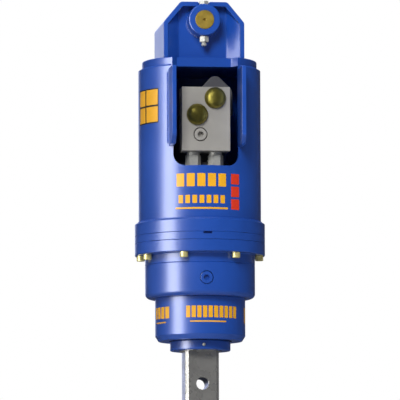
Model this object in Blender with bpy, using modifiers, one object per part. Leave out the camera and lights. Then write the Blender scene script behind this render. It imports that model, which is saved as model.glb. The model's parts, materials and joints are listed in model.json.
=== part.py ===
"""Earth auger drive: hanger, hood with a hose window, hydraulic motor, two stage planetary gearbox, square shaft.

Lengths are in metres, +Z is up along the shaft, -Y is the front with the window, and the origin is the middle
of the shaft's end face.
"""

import math

import bmesh
import bpy
from mathutils import Matrix, Vector

# Clearances and mesh fineness
SEAT_GAP = 0.0003
RUNNING_GAP = 0.0005
OVERRUN = 0.012
MERGE_DISTANCE = 0.00001
LARGE_STEPS = 48
MEDIUM_STEPS = 36
SMALL_STEPS = 20
TINY_STEPS = 12
ROLLER_STEPS = 8
SHARP_ANGLE = math.radians(32)

# Output shaft
SQUARE_ACROSS = 0.075
SQUARE_CORNER = 0.0065
SQUARE_LENGTH = 0.1284
SHOULDER_RADIUS = 0.0475
SHOULDER_REACH = 0.0008
CROSS_HOLE_RADIUS = 0.0135
CROSS_HOLE_HEIGHT = 0.055
JOURNAL_RADIUS = 0.045
SPLINE_RADIUS = 0.040

# Seal cover, neck and bearings
COLLAR_RADIUS = 0.067
COLLAR_HEIGHT = 0.021
NIPPLE_RADIUS = 0.0035
NIPPLE_REACH = 0.007
NECK_STEP = 0.0083
NECK_HEIGHT = 0.0945
NECK_CHAMFER = 0.007
NECK_CHAMFER_HEIGHT = 0.011
SPIGOT_WALL = 0.0217
SPIGOT_HEIGHT = 0.0155
SEAL_DEPTH = 0.0145
SEAL_HEIGHT = 0.012
BEARING_RADIUS = 0.070
BEARING_WIDTH = 0.032
BEARING_SPACING = 0.0291
RACE_THICKNESS = 0.0075
CUP_SHOULDER = 0.004
CAGE_THICKNESS = 0.0016
ROLLER_TILT = math.radians(12)
ROLLER_COUNT = 14
LOCK_NUT_RADIUS = 0.058
LOCK_NUT_HEIGHT = 0.009

# Gearbox casing
GEARBOX_WALL = 0.018
GEARBOX_HEIGHT = 0.1207
GEARBOX_CORNER = 0.0105
GEARBOX_FLOOR = 0.0167
GEARBOX_FLANGE = 0.026
FLANGE_STEP = 0.0225
COVER_THICKNESS = 0.0167
BASE_FLANGE_THICKNESS = 0.0282
PRY_SLOT_WIDTH = 0.019
PRY_SLOT_HEIGHT = 0.005
PRY_SLOT_DEPTH = 0.008
OIL_PLUG_RADIUS = 0.0147
OIL_PLUG_LENGTH = 0.010
OIL_PLUG_HEIGHT = 0.038
FLANGE_BOLT_CLEARANCE = 0.002
FLANGE_BOLT_ANGLES = (-87.7, -67.9, -22.3, 29.9, 73.8, 118.0, 170.0, -138.0)
FLANGE_BOLT_RADIUS = 0.006
FLANGE_BOLT_HEAD_RADIUS = 0.009
FLANGE_BOLT_HEAD = 0.012
FLANGE_BOLT_BITE = 0.018

# Gears
GEAR_MODULE = 0.004
ADDENDUM_SHARE = 0.8
DEDENDUM_SHARE = 1.1
TOOTH_HALF_SHARE = 0.66
RING_TOOTH_HALF_SHARE = 0.57
OUTER_FLANK = math.radians(27)
INNER_FLANK = math.radians(20)
RING_TEETH = 42
FINAL_SUN_TEETH = 18
FIRST_SUN_TEETH = 12
PLANETS = 3
RING_RIM = 0.0153
RING_LEDGE = 0.009
FINAL_FACE_WIDTH = 0.028
FIRST_FACE_WIDTH = 0.022
FINAL_PLATE_THICKNESS = 0.016
PLATE_RIM = 0.006
FIRST_PLATE_THICKNESS = 0.012
FINAL_PIN_RADIUS = 0.012
FIRST_PIN_RADIUS = 0.010
WASHER_THICKNESS = 0.003
WASHER_WALL = 0.012
SUN_STUB_RADIUS = 0.020
MOTOR_STEM_RADIUS = 0.015

# Hood
HOOD_INSET = 0.0085
HOOD_WALL = 0.012
HOOD_LENGTH = 0.342
WINDOW_WIDTH = 0.145
WINDOW_HEIGHT = 0.224
WINDOW_CORNER = 0.026
CHEEK_THICKNESS = 0.0095
CHEEK_FRONT = 0.180
CHEEK_TOP_DROP = 0.008
CHEEK_HEIGHT = 0.172
CHEEK_TAPER = 0.018
CHEEK_CORNER = 0.012
TOP_PLATE_INSET = 0.00825
TOP_PLATE_THICKNESS = 0.0197
NOTCH_WIDTH = 0.121
NOTCH_BACK = 0.0875
NOTCH_FLARE = 0.0125

# Hanger
ARCH_WIDTH = 0.180
ARCH_DEPTH = 0.180
ARCH_HEIGHT = 0.1245
ARCH_WALL = 0.010
ARCH_CHAMFER_RUN = 0.038
ARCH_CHAMFER_DROP = 0.046
LINK_GAP = 0.096
LUG_THICKNESS = 0.014
LUG_FLAT_WIDTH = 0.106
LUG_INSET = 0.002
BOSS_RADIUS = 0.0355
BOSS_FRONT = 0.104
PIN_RADIUS = 0.0208
PIN_PROUD = 0.0015
PIN_DIMPLE_RADIUS = 0.003
PIN_DIMPLE_DEPTH = 0.006
PIN_HEIGHT = 0.083
LOCK_BOLT_RADIUS = 0.006
LOCK_BOLT_SETBACK = 0.016
LOCK_BOLT_HEAD = 0.0075
LOCK_BOLT_ACROSS = 0.019
LOCK_BOLT_TAIL = 0.0085
LOCK_NUT_DEPTH = 0.0127
HEAD_NOTCH_CLEARANCE = 0.002
LINK_SLOT_WIDTH = 0.096

# Hydraulic motor
MOTOR_SPIGOT_RADIUS = 0.062
MOTOR_SPIGOT_DEPTH = 0.0253
MOTOR_FLANGE_RADIUS = 0.100
MOTOR_FLANGE_THICKNESS = 0.020
MOTOR_LOWER_RADIUS = 0.070
MOTOR_LOWER_HEIGHT = 0.113
MOTOR_UPPER_RADIUS = 0.0585
MOTOR_UPPER_HEIGHT = 0.075
END_COVER_HEIGHT = 0.030
MOTOR_BOLT_RADIUS = 0.008
MOTOR_BOLT_ACROSS = 0.024
MOTOR_BOLT_HEAD = 0.010
MOTOR_BOLT_BITE = 0.018
PORT_HOUSING_WIDTH = 0.100
PORT_HOUSING_HEIGHT = 0.045
PORT_HOUSING_CLEARANCE = 0.00147
ADAPTOR_ACROSS = 0.030
ADAPTOR_SPACING = 0.050
ADAPTOR_SETBACK = 0.026
ADAPTOR_LENGTH = 0.063
MANIFOLD_WIDTH = 0.107
MANIFOLD_HEIGHT = 0.1415
MANIFOLD_FRONT = 0.122
CAP_RADIUS = 0.0228
CAP_RING_RADIUS = 0.0245
CAP_RING_DEPTH = 0.006
CAP_DOME_DEPTH = 0.014
CAP_OFFSET = 0.020
UPPER_CAP_DROP = 0.0245
LOWER_CAP_DROP = 0.0615
MANIFOLD_PLUG_RADIUS = 0.0155
MANIFOLD_PLUG_DEPTH = 0.003
MANIFOLD_PLUG_OFFSET = 0.0129
MANIFOLD_PLUG_DROP = 0.1055
MANIFOLD_PLUG_SOCKET = 0.011
VALVE_WIDTH = 0.078
VALVE_HEIGHT = 0.094
VALVE_DEPTH = 0.050
VALVE_OFFSET = 0.028
VALVE_PEAK_RADIUS = 0.016
VALVE_SHOULDER_DROP = 0.038

# Levels up the axis, each standing on the one below
COLLAR_BOTTOM = SQUARE_LENGTH + SHOULDER_REACH
COLLAR_TOP = COLLAR_BOTTOM + COLLAR_HEIGHT
NECK_BOTTOM = COLLAR_TOP + SEAT_GAP
NECK_TOP = NECK_BOTTOM + NECK_HEIGHT
BEARING_SEAT = NECK_BOTTOM + SEAL_DEPTH
UPPER_BEARING = BEARING_SEAT + 2 * SEAT_GAP + BEARING_WIDTH + BEARING_SPACING
BEARINGS_TOP = UPPER_BEARING + BEARING_WIDTH
GEARBOX_BOTTOM = NECK_TOP + SEAT_GAP
GEARBOX_TOP = GEARBOX_BOTTOM + GEARBOX_HEIGHT
FLOOR_TOP = GEARBOX_BOTTOM + GEARBOX_FLOOR
LOCK_NUT_BOTTOM = BEARINGS_TOP + SEAT_GAP
FINAL_PLATE_BOTTOM = LOCK_NUT_BOTTOM + LOCK_NUT_HEIGHT + SEAT_GAP
FINAL_PLATE_TOP = FINAL_PLATE_BOTTOM + FINAL_PLATE_THICKNESS
WASHER_BOTTOM = FINAL_PLATE_TOP + SEAT_GAP
FINAL_SUN_BOTTOM = WASHER_BOTTOM + WASHER_THICKNESS + SEAT_GAP
FINAL_SUN_TOP = FINAL_SUN_BOTTOM + FINAL_FACE_WIDTH
FIRST_PLATE_BOTTOM = FINAL_SUN_TOP + SEAT_GAP
FIRST_PLATE_TOP = FIRST_PLATE_BOTTOM + FIRST_PLATE_THICKNESS
FIRST_GEAR_BOTTOM = FIRST_PLATE_TOP + SEAT_GAP
FIRST_GEAR_TOP = FIRST_GEAR_BOTTOM + FIRST_FACE_WIDTH
RING_BOTTOM = FINAL_PLATE_TOP - FINAL_PLATE_THICKNESS / 8
COVER_BOTTOM = GEARBOX_TOP + SEAT_GAP
COVER_TOP = COVER_BOTTOM + COVER_THICKNESS
BASE_BOTTOM = COVER_TOP + SEAT_GAP
BASE_TOP = BASE_BOTTOM + BASE_FLANGE_THICKNESS
HOOD_BOTTOM = BASE_TOP + SEAT_GAP
HOOD_TOP = HOOD_BOTTOM + HOOD_LENGTH
TOP_PLATE_BOTTOM = HOOD_TOP + SEAT_GAP
TOP_PLATE_TOP = TOP_PLATE_BOTTOM + TOP_PLATE_THICKNESS
ARCH_BOTTOM = TOP_PLATE_TOP + SEAT_GAP
ARCH_TOP = ARCH_BOTTOM + ARCH_HEIGHT
PIN_Z = ARCH_BOTTOM + PIN_HEIGHT
MOTOR_SEAT = BASE_TOP + SEAT_GAP
MOTOR_FLANGE_TOP = MOTOR_SEAT + MOTOR_FLANGE_THICKNESS
MOTOR_LOWER_TOP = MOTOR_FLANGE_TOP + MOTOR_LOWER_HEIGHT
MOTOR_TOP = MOTOR_LOWER_TOP + MOTOR_UPPER_HEIGHT
END_COVER_BOTTOM = MOTOR_TOP + SEAT_GAP
END_COVER_TOP = END_COVER_BOTTOM + END_COVER_HEIGHT
PORT_HOUSING_BOTTOM = MOTOR_LOWER_TOP - 2 * PORT_HOUSING_HEIGHT
PORT_HOUSING_TOP = PORT_HOUSING_BOTTOM + PORT_HOUSING_HEIGHT
ADAPTOR_BOTTOM = PORT_HOUSING_TOP + SEAT_GAP
ADAPTOR_TOP = ADAPTOR_BOTTOM + ADAPTOR_LENGTH
MANIFOLD_BOTTOM = ADAPTOR_TOP + SEAT_GAP
MANIFOLD_TOP = MANIFOLD_BOTTOM + MANIFOLD_HEIGHT

# Sizes that follow from the driving ones
SPIGOT_RADIUS = BEARING_RADIUS + SPIGOT_WALL
NECK_RADIUS = SPIGOT_RADIUS + NECK_STEP
RING_PITCH_RADIUS = GEAR_MODULE * RING_TEETH / 2
RING_OUTER_RADIUS = RING_PITCH_RADIUS + DEDENDUM_SHARE * GEAR_MODULE + RING_RIM
GEARBOX_RADIUS = RING_OUTER_RADIUS + SEAT_GAP + GEARBOX_WALL
FLANGE_RADIUS = GEARBOX_RADIUS + FLANGE_STEP
FLANGE_BOLT_CIRCLE = GEARBOX_RADIUS + FLANGE_BOLT_HEAD_RADIUS + FLANGE_BOLT_CLEARANCE
HOOD_RADIUS = FLANGE_RADIUS - HOOD_INSET
HOOD_BORE = HOOD_RADIUS - HOOD_WALL
TOP_PLATE_RADIUS = HOOD_RADIUS - TOP_PLATE_INSET
PORT_HOUSING_FRONT = math.sqrt(HOOD_BORE**2 - (PORT_HOUSING_WIDTH / 2) ** 2) - PORT_HOUSING_CLEARANCE
MOTOR_BOLT_CIRCLE = (MOTOR_LOWER_RADIUS + MOTOR_FLANGE_RADIUS) / 2
HOUSING_BORE = BEARING_RADIUS + SEAT_GAP
ARCH_INNER_X = ARCH_WIDTH / 2 - ARCH_WALL
ARCH_FRONT = ARCH_DEPTH / 2
LOCK_BOLT_Y = -(BOSS_FRONT - LOCK_BOLT_SETBACK)

NAME = "earth_auger_drive"


def clear_scene():
    for item in list(bpy.data.objects):
        bpy.data.objects.remove(item, do_unlink=True)


def new_collection(name):
    collection = bpy.data.collections.new(name)
    bpy.context.scene.collection.children.link(collection)
    return collection


clear_scene()
PARTS = new_collection(NAME)
CUTTERS = new_collection("cutters")


def make_material(name, color, metallic, roughness):
    material = bpy.data.materials.new(name)
    material.use_nodes = True
    shader = material.node_tree.nodes["Principled BSDF"]
    shader.inputs["Base Color"].default_value = (*color, 1)
    shader.inputs["Metallic"].default_value = metallic
    shader.inputs["Roughness"].default_value = roughness
    return material


BLUE_PAINT = make_material("blue_paint", (0.02, 0.07, 0.36), 0, 0.3)
YELLOW_ZINC = make_material("yellow_zinc", (0.62, 0.5, 0.16), 1, 0.35)
PIN_ZINC = make_material("pin_zinc", (0.38, 0.26, 0.06), 1, 0.4)
CLEAR_ZINC = make_material("clear_zinc", (0.6, 0.6, 0.58), 1, 0.35)
SHAFT_STEEL = make_material("shaft_steel", (0.4, 0.39, 0.37), 1, 0.35)
GEAR_STEEL = make_material("gear_steel", (0.45, 0.45, 0.46), 1, 0.3)
CAST_GREY = make_material("cast_grey", (0.1, 0.1, 0.11), 0, 0.6)
BLOCK_GREY = make_material("block_grey", (0.36, 0.35, 0.33), 0.4, 0.5)
OLIVE_CAP = make_material("olive_cap", (0.2, 0.18, 0.05), 0, 0.4)
SEAL_RUBBER = make_material("seal_rubber", (0.01, 0.01, 0.01), 0, 0.7)


def add_object(name, mesh, collection=None):
    item = bpy.data.objects.new(name, mesh)
    (collection or PARTS).objects.link(item)
    return item


def evaluated_mesh(item):
    bpy.context.view_layer.update()
    graph = bpy.context.evaluated_depsgraph_get()
    return bpy.data.meshes.new_from_object(item.evaluated_get(graph))


def settle(item, material):
    """Bake the modifiers that shape the blank, and shade its round faces smooth."""
    mesh = evaluated_mesh(item)
    item.modifiers.clear()
    item.data = mesh
    mesh.shade_smooth()
    mesh.set_sharp_from_angle(angle=SHARP_ANGLE)
    mesh.materials.clear()
    mesh.materials.append(material)
    return item


def turned(name, profile, steps, material, closed=True, collection=None):
    """Turn a profile of (radius, height) points round Z. It runs down its outer side first."""
    mesh = bpy.data.meshes.new(name)
    count = len(profile)
    edges = [(index, index + 1) for index in range(count - 1)]
    if closed:
        edges.append((count - 1, 0))
    mesh.from_pydata([(radius, 0, height) for radius, height in profile], edges, [])
    item = add_object(name, mesh, collection)
    screw = item.modifiers.new("turn", "SCREW")
    screw.axis = "Z"
    screw.steps = steps
    screw.render_steps = steps
    screw.use_merge_vertices = True
    screw.merge_threshold = MERGE_DISTANCE
    return settle(item, material)


def ring(name, outer, inner, bottom, top, steps, material):
    profile = [(outer, top), (outer, bottom), (inner, bottom), (inner, top)]
    return turned(name, profile, steps, material)


def disc_profile(radius, bottom, top):
    return [(0, top), (radius, top), (radius, bottom), (0, bottom)]


def extruded(name, outlines, depth, material, collection=None):
    """Fill flat outlines, the later ones as holes, and extrude them to z = 0 .. depth."""
    curve = bpy.data.curves.new(name, "CURVE")
    curve.dimensions = "2D"
    curve.fill_mode = "BOTH"
    curve.extrude = depth / 2
    for outline in outlines:
        spline = curve.splines.new("POLY")
        spline.points.add(len(outline) - 1)
        for point, place in zip(spline.points, outline):
            point.co = (place[0], place[1], 0, 1)
        spline.use_cyclic_u = True
    guide = add_object(name + "_outline", curve)
    mesh = evaluated_mesh(guide)
    bpy.data.objects.remove(guide, do_unlink=True)
    work = bmesh.new()
    work.from_mesh(mesh)
    bmesh.ops.remove_doubles(work, verts=work.verts, dist=MERGE_DISTANCE)
    bmesh.ops.translate(work, verts=work.verts, vec=(0, 0, depth / 2))
    bmesh.ops.recalc_face_normals(work, faces=work.faces)
    work.to_mesh(mesh)
    work.free()
    mesh.shade_smooth()
    mesh.set_sharp_from_angle(angle=SHARP_ANGLE)
    mesh.materials.clear()
    mesh.materials.append(material)
    return add_object(name, mesh, collection)


def stand_up(item, front):
    """Turn a piece extruded from an XZ outline upright, with its front face at y = front."""
    turn = Matrix.Rotation(math.radians(90), 4, "X")
    depth = max(vertex.co.z for vertex in item.data.vertices)
    item.data.transform(Matrix.Translation((0, front + depth, 0)) @ turn)
    return item


def circle(radius, steps, centre=(0, 0)):
    angles = [math.tau * index / steps for index in range(steps)]
    return [(centre[0] + radius * math.cos(a), centre[1] + radius * math.sin(a)) for a in angles]


def hexagon(across, centre=(0, 0)):
    return circle(across / math.sqrt(3), 6, centre)


def rounded(outline, radius, steps=4):
    """Replace each corner of an outline by an arc."""
    result = []
    count = len(outline)
    for index, corner in enumerate(outline):
        here = Vector(corner)
        before = (Vector(outline[index - 1]) - here).normalized()
        after = (Vector(outline[(index + 1) % count]) - here).normalized()
        half = before.angle(after) / 2
        centre = here + (before + after).normalized() * radius / math.sin(half)
        start = here + before * radius / math.tan(half) - centre
        end = here + after * radius / math.tan(half) - centre
        for step in range(steps + 1):
            share = step / steps
            spoke = start.lerp(end, share).normalized() * radius
            result.append(tuple(centre + spoke))
    return result


def box_mesh(work, low, high):
    made = bmesh.ops.create_cube(work, size=1)
    size = Vector(high) - Vector(low)
    middle = (Vector(high) + Vector(low)) / 2
    place = Matrix.Translation(middle) @ Matrix.Diagonal((*size, 1))
    bmesh.ops.transform(work, matrix=place, verts=made["verts"])


def rod_mesh(work, radius, start, end, steps):
    """Add a closed rod between two points."""
    span = Vector(end) - Vector(start)
    turn = Vector((0, 0, 1)).rotation_difference(span).to_matrix().to_4x4()
    place = Matrix.Translation((Vector(start) + Vector(end)) / 2) @ turn
    bmesh.ops.create_cone(
        work, cap_ends=True, segments=steps, radius1=radius, radius2=radius, depth=span.length, matrix=place
    )


def from_bmesh(name, work, material=None, collection=None):
    mesh = bpy.data.meshes.new(name)
    work.to_mesh(mesh)
    work.free()
    if material:
        mesh.shade_smooth()
        mesh.set_sharp_from_angle(angle=SHARP_ANGLE)
        mesh.materials.append(material)
    return add_object(name, mesh, collection)


def as_cutter(item):
    item.hide_render = True
    item.display_type = "WIRE"
    return item


def box_cutter(name, low, high):
    work = bmesh.new()
    box_mesh(work, low, high)
    return as_cutter(from_bmesh(name, work, collection=CUTTERS))


def rods_cutter(name, rods, steps=SMALL_STEPS):
    """Make one cutter of rods, each (radius, start, end), that don't touch each other."""
    work = bmesh.new()
    for radius, start, end in rods:
        rod_mesh(work, radius, start, end, steps)
    return as_cutter(from_bmesh(name, work, collection=CUTTERS))


def combine(item, tool, operation="DIFFERENCE"):
    modifier = item.modifiers.new(operation.lower(), "BOOLEAN")
    modifier.operation = operation
    modifier.solver = "EXACT"
    modifier.object = tool
    return item


def polar(radius, degrees, height):
    """A point at an angle from the front, positive towards +X."""
    angle = math.radians(degrees)
    return Vector((radius * math.sin(angle), -radius * math.cos(angle), height))


def gear_outline(teeth, phase, internal=False):
    """Points of a gear with straight flanks, with a tooth's middle at the phase angle."""
    pitch_radius = GEAR_MODULE * teeth / 2
    sign = -1 if internal else 1
    flank = math.tan(INNER_FLANK if internal else OUTER_FLANK)
    half_share = RING_TOOTH_HALF_SHARE if internal else TOOTH_HALF_SHARE
    tip = pitch_radius + sign * ADDENDUM_SHARE * GEAR_MODULE
    root = pitch_radius - sign * DEDENDUM_SHARE * GEAR_MODULE
    tip_half = (half_share - ADDENDUM_SHARE * flank) * GEAR_MODULE / tip
    root_half = (half_share + DEDENDUM_SHARE * flank) * GEAR_MODULE / root
    points = []
    for index in range(teeth):
        middle = phase + math.tau * index / teeth
        for radius, offset in ((root, -root_half), (tip, -tip_half), (tip, tip_half), (root, root_half)):
            points.append((radius * math.cos(middle + offset), radius * math.sin(middle + offset)))
    return points


def planet_teeth(sun_teeth):
    return (RING_TEETH - sun_teeth) // 2


def planet_angle(index):
    return math.tau * index / PLANETS + math.radians(90)


def planet_phase(sun_teeth, angle):
    """The phase at which a planet's gap faces the tooth of a sun whose phase is zero."""
    sun_share = angle * sun_teeth / math.tau
    return angle + math.pi - math.tau / planet_teeth(sun_teeth) * (0.5 - sun_share)


def ring_phase(sun_teeth):
    """The phase at which the ring's gap faces the first planet's tooth."""
    angle = planet_angle(0)
    teeth = planet_teeth(sun_teeth)
    planet_share = (angle - planet_phase(sun_teeth, angle)) * teeth / math.tau
    return angle - math.tau / RING_TEETH * (planet_share + 0.5)


def planet_circle(sun_teeth):
    return GEAR_MODULE * (sun_teeth + planet_teeth(sun_teeth)) / 2


def planet_centres(sun_teeth):
    reach = planet_circle(sun_teeth)
    angles = [planet_angle(index) for index in range(PLANETS)]
    return [(reach * math.cos(a), reach * math.sin(a)) for a in angles]


def make_shaft():
    half = SQUARE_ACROSS / 2
    corner = half - SQUARE_CORNER
    square = [
        (half, -corner), (half, corner), (corner, half), (-corner, half),
        (-half, corner), (-half, -corner), (-corner, -half), (corner, -half),
    ]
    shaft = extruded("output_shaft", [square], SQUARE_LENGTH + SHOULDER_REACH / 2, SHAFT_STEEL)
    profile = [
        (0, FINAL_PLATE_TOP),
        (SPLINE_RADIUS, FINAL_PLATE_TOP),
        (SPLINE_RADIUS, FINAL_PLATE_BOTTOM - SEAT_GAP),
        (JOURNAL_RADIUS, FINAL_PLATE_BOTTOM - SEAT_GAP),
        (JOURNAL_RADIUS, BEARING_SEAT),
        (SHOULDER_RADIUS, BEARING_SEAT),
        (SHOULDER_RADIUS, SQUARE_LENGTH),
        (0, SQUARE_LENGTH),
    ]
    round_end = turned("shaft_round_end", profile, MEDIUM_STEPS, SHAFT_STEEL, False, CUTTERS)
    combine(shaft, as_cutter(round_end), "UNION")
    reach = half + OVERRUN
    hole = rods_cutter(
        "cross_hole", [(CROSS_HOLE_RADIUS, (0, -reach, CROSS_HOLE_HEIGHT), (0, reach, CROSS_HOLE_HEIGHT))]
    )
    combine(shaft, hole)


def make_seal_cover():
    inner = SHOULDER_RADIUS + RUNNING_GAP
    edge = NECK_CHAMFER / 4
    profile = [
        (COLLAR_RADIUS, COLLAR_TOP),
        (COLLAR_RADIUS, COLLAR_BOTTOM + edge),
        (COLLAR_RADIUS - edge, COLLAR_BOTTOM),
        (inner, COLLAR_BOTTOM),
        (inner, COLLAR_TOP),
    ]
    cover = turned("seal_cover", profile, LARGE_STEPS, BLUE_PAINT)
    height = (COLLAR_BOTTOM + COLLAR_TOP) / 2
    wall = COLLAR_RADIUS - inner
    start = polar(COLLAR_RADIUS - wall / 2, 0, height)
    end = polar(COLLAR_RADIUS + OVERRUN, 0, height)
    combine(cover, rods_cutter("nipple_hole", [(NIPPLE_RADIUS + SEAT_GAP, start, end)], TINY_STEPS))
    nipple_start = polar(COLLAR_RADIUS - wall / 2 + SEAT_GAP, 0, height)
    nipple_end = polar(COLLAR_RADIUS + NIPPLE_REACH, 0, height)
    work = bmesh.new()
    rod_mesh(work, NIPPLE_RADIUS, nipple_start, nipple_end, TINY_STEPS)
    from_bmesh("grease_nipple", work, CLEAR_ZINC)


def make_bearing_housing():
    shoulder_bottom = BEARING_SEAT + 2 * SEAT_GAP + BEARING_WIDTH
    shoulder_top = UPPER_BEARING - SEAT_GAP
    profile = [
        (SPIGOT_RADIUS, NECK_TOP + SPIGOT_HEIGHT),
        (SPIGOT_RADIUS, NECK_TOP),
        (NECK_RADIUS, NECK_TOP),
        (NECK_RADIUS, NECK_BOTTOM + NECK_CHAMFER_HEIGHT),
        (NECK_RADIUS - NECK_CHAMFER, NECK_BOTTOM),
        (HOUSING_BORE, NECK_BOTTOM),
        (HOUSING_BORE, shoulder_bottom),
        (HOUSING_BORE - CUP_SHOULDER, shoulder_bottom),
        (HOUSING_BORE - CUP_SHOULDER, shoulder_top),
        (HOUSING_BORE, shoulder_top),
        (HOUSING_BORE, NECK_TOP + SPIGOT_HEIGHT),
    ]
    turned("bearing_housing", profile, LARGE_STEPS, BLUE_PAINT)
    seal_bottom = NECK_BOTTOM + SEAT_GAP
    ring(
        "oil_seal", BEARING_RADIUS, SHOULDER_RADIUS + SEAT_GAP, seal_bottom, seal_bottom + SEAL_HEIGHT,
        MEDIUM_STEPS, SEAL_RUBBER,
    )


def make_bearing(prefix, bottom, lean):
    """A taper roller bearing whose rollers lean in towards the top (lean 1) or the bottom (lean -1)."""
    top = bottom + BEARING_WIDTH
    bore = JOURNAL_RADIUS + SEAT_GAP
    slope = lean * math.tan(ROLLER_TILT) * BEARING_WIDTH / 2
    middle = (bore + BEARING_RADIUS) / 2
    gap = (BEARING_RADIUS - bore) / 2 - RACE_THICKNESS
    cone_profile = [
        (middle - gap - slope, top),
        (middle - gap + slope, bottom),
        (bore, bottom),
        (bore, top),
    ]
    turned(prefix + "_bearing_cone", cone_profile, MEDIUM_STEPS, GEAR_STEEL)
    cup_profile = [
        (BEARING_RADIUS, top),
        (BEARING_RADIUS, bottom),
        (middle + gap + slope, bottom),
        (middle + gap - slope, top),
    ]
    turned(prefix + "_bearing_cup", cup_profile, MEDIUM_STEPS, GEAR_STEEL)
    cage_half = CAGE_THICKNESS / 2
    cage_profile = [
        (middle + cage_half - slope, top),
        (middle + cage_half + slope, bottom),
        (middle - cage_half + slope, bottom),
        (middle - cage_half - slope, top),
    ]
    cage = turned(prefix + "_bearing_rollers", cage_profile, SMALL_STEPS, GEAR_STEEL)
    radius = gap * math.cos(ROLLER_TILT) - SEAT_GAP
    inset = BEARING_WIDTH / 8
    half = BEARING_WIDTH / 2 - inset
    shift = slope * half / (BEARING_WIDTH / 2)
    rods = []
    for index in range(ROLLER_COUNT):
        angle = 360 * index / ROLLER_COUNT
        start = polar(middle + shift, angle, bottom + inset)
        end = polar(middle - shift, angle, top - inset)
        rods.append((radius, start, end))
    combine(cage, rods_cutter(prefix + "_rollers", rods, ROLLER_STEPS), "UNION")


def make_bearings():
    make_bearing("lower", BEARING_SEAT + SEAT_GAP, 1)
    make_bearing("upper", UPPER_BEARING, -1)
    bore = JOURNAL_RADIUS + SEAT_GAP
    nut_top = LOCK_NUT_BOTTOM + LOCK_NUT_HEIGHT
    ring("shaft_lock_nut", LOCK_NUT_RADIUS, bore, LOCK_NUT_BOTTOM, nut_top, MEDIUM_STEPS, GEAR_STEEL)


def make_gearbox_housing():
    flange_bottom = GEARBOX_TOP - GEARBOX_FLANGE
    cavity = RING_OUTER_RADIUS + SEAT_GAP
    ledge_radius = RING_OUTER_RADIUS - RING_LEDGE
    corner = [
        (
            GEARBOX_RADIUS - GEARBOX_CORNER * (1 - math.cos(math.radians(45 * step))),
            GEARBOX_BOTTOM + GEARBOX_CORNER * (1 - math.sin(math.radians(45 * step))),
        )
        for step in range(3)
    ]
    profile = [
        (FLANGE_RADIUS, GEARBOX_TOP),
        (FLANGE_RADIUS, flange_bottom),
        (GEARBOX_RADIUS, flange_bottom),
        *corner,
        (SPIGOT_RADIUS + SEAT_GAP, GEARBOX_BOTTOM),
        (SPIGOT_RADIUS + SEAT_GAP, FLOOR_TOP),
        (ledge_radius, FLOOR_TOP),
        (ledge_radius, RING_BOTTOM - SEAT_GAP),
        (cavity, RING_BOTTOM - SEAT_GAP),
        (cavity, GEARBOX_TOP),
    ]
    housing = turned("gearbox_housing", profile, LARGE_STEPS, BLUE_PAINT)
    combine(housing, bolt_holes("housing_bolt_holes", flange_bottom - OVERRUN, GEARBOX_TOP + OVERRUN))
    height = GEARBOX_BOTTOM + OIL_PLUG_HEIGHT
    seat = GEARBOX_RADIUS - OIL_PLUG_LENGTH
    plug_hole = [(OIL_PLUG_RADIUS + SEAT_GAP, polar(seat, 0, height), polar(GEARBOX_RADIUS + OVERRUN, 0, height))]
    combine(housing, rods_cutter("oil_plug_hole", plug_hole))
    work = bmesh.new()
    sagitta = GEARBOX_RADIUS - math.sqrt(GEARBOX_RADIUS**2 - OIL_PLUG_RADIUS**2)
    face = GEARBOX_RADIUS - sagitta
    rod_mesh(work, OIL_PLUG_RADIUS, polar(seat + SEAT_GAP, 0, height), polar(face, 0, height), SMALL_STEPS)
    plug = from_bmesh("gearbox_oil_plug", work, BLUE_PAINT)
    socket_radius = OIL_PLUG_RADIUS / 3
    socket = [(socket_radius, polar(face - OIL_PLUG_LENGTH / 2, 0, height), polar(face + OVERRUN, 0, height))]
    combine(plug, rods_cutter("oil_plug_socket", socket, 6))


def bolt_holes(name, bottom, top):
    radius = FLANGE_BOLT_RADIUS + SEAT_GAP
    rods = [
        (radius, polar(FLANGE_BOLT_CIRCLE, angle, bottom), polar(FLANGE_BOLT_CIRCLE, angle, top))
        for angle in FLANGE_BOLT_ANGLES
    ]
    return rods_cutter(name, rods, TINY_STEPS)


def cap_screw(name, radius, head_radius, head_height, length, material):
    """One screw on the Z axis, its seat at z = 0, its shank upwards and its head below."""
    profile = [
        (0, length),
        (radius, length),
        (radius, 0),
        (head_radius, 0),
        (head_radius, -head_height),
        (0, -head_height),
    ]
    return turned(name, profile, TINY_STEPS, material, closed=False)


def copies(blank, places):
    """Bake a blank and put an object that shares its mesh at each place."""
    name = blank.name
    mesh = evaluated_mesh(blank)
    bpy.data.objects.remove(blank, do_unlink=True)
    mesh.set_sharp_from_angle(angle=SHARP_ANGLE)
    for index, place in enumerate(places):
        add_object(f"{name}_{index + 1}", mesh).location = place


def make_flange_bolts():
    seat = GEARBOX_TOP - GEARBOX_FLANGE - SEAT_GAP
    length = BASE_BOTTOM + FLANGE_BOLT_BITE - seat
    bolts = cap_screw(
        "flange_bolt", FLANGE_BOLT_RADIUS, FLANGE_BOLT_HEAD_RADIUS, FLANGE_BOLT_HEAD, length, YELLOW_ZINC
    )
    depth = FLANGE_BOLT_HEAD / 2
    socket = [(FLANGE_BOLT_RADIUS, (0, 0, -FLANGE_BOLT_HEAD - OVERRUN), (0, 0, -depth))]
    combine(bolts, rods_cutter("flange_bolt_socket", socket, 6))
    copies(bolts, [polar(FLANGE_BOLT_CIRCLE, angle, seat) for angle in FLANGE_BOLT_ANGLES])


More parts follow.
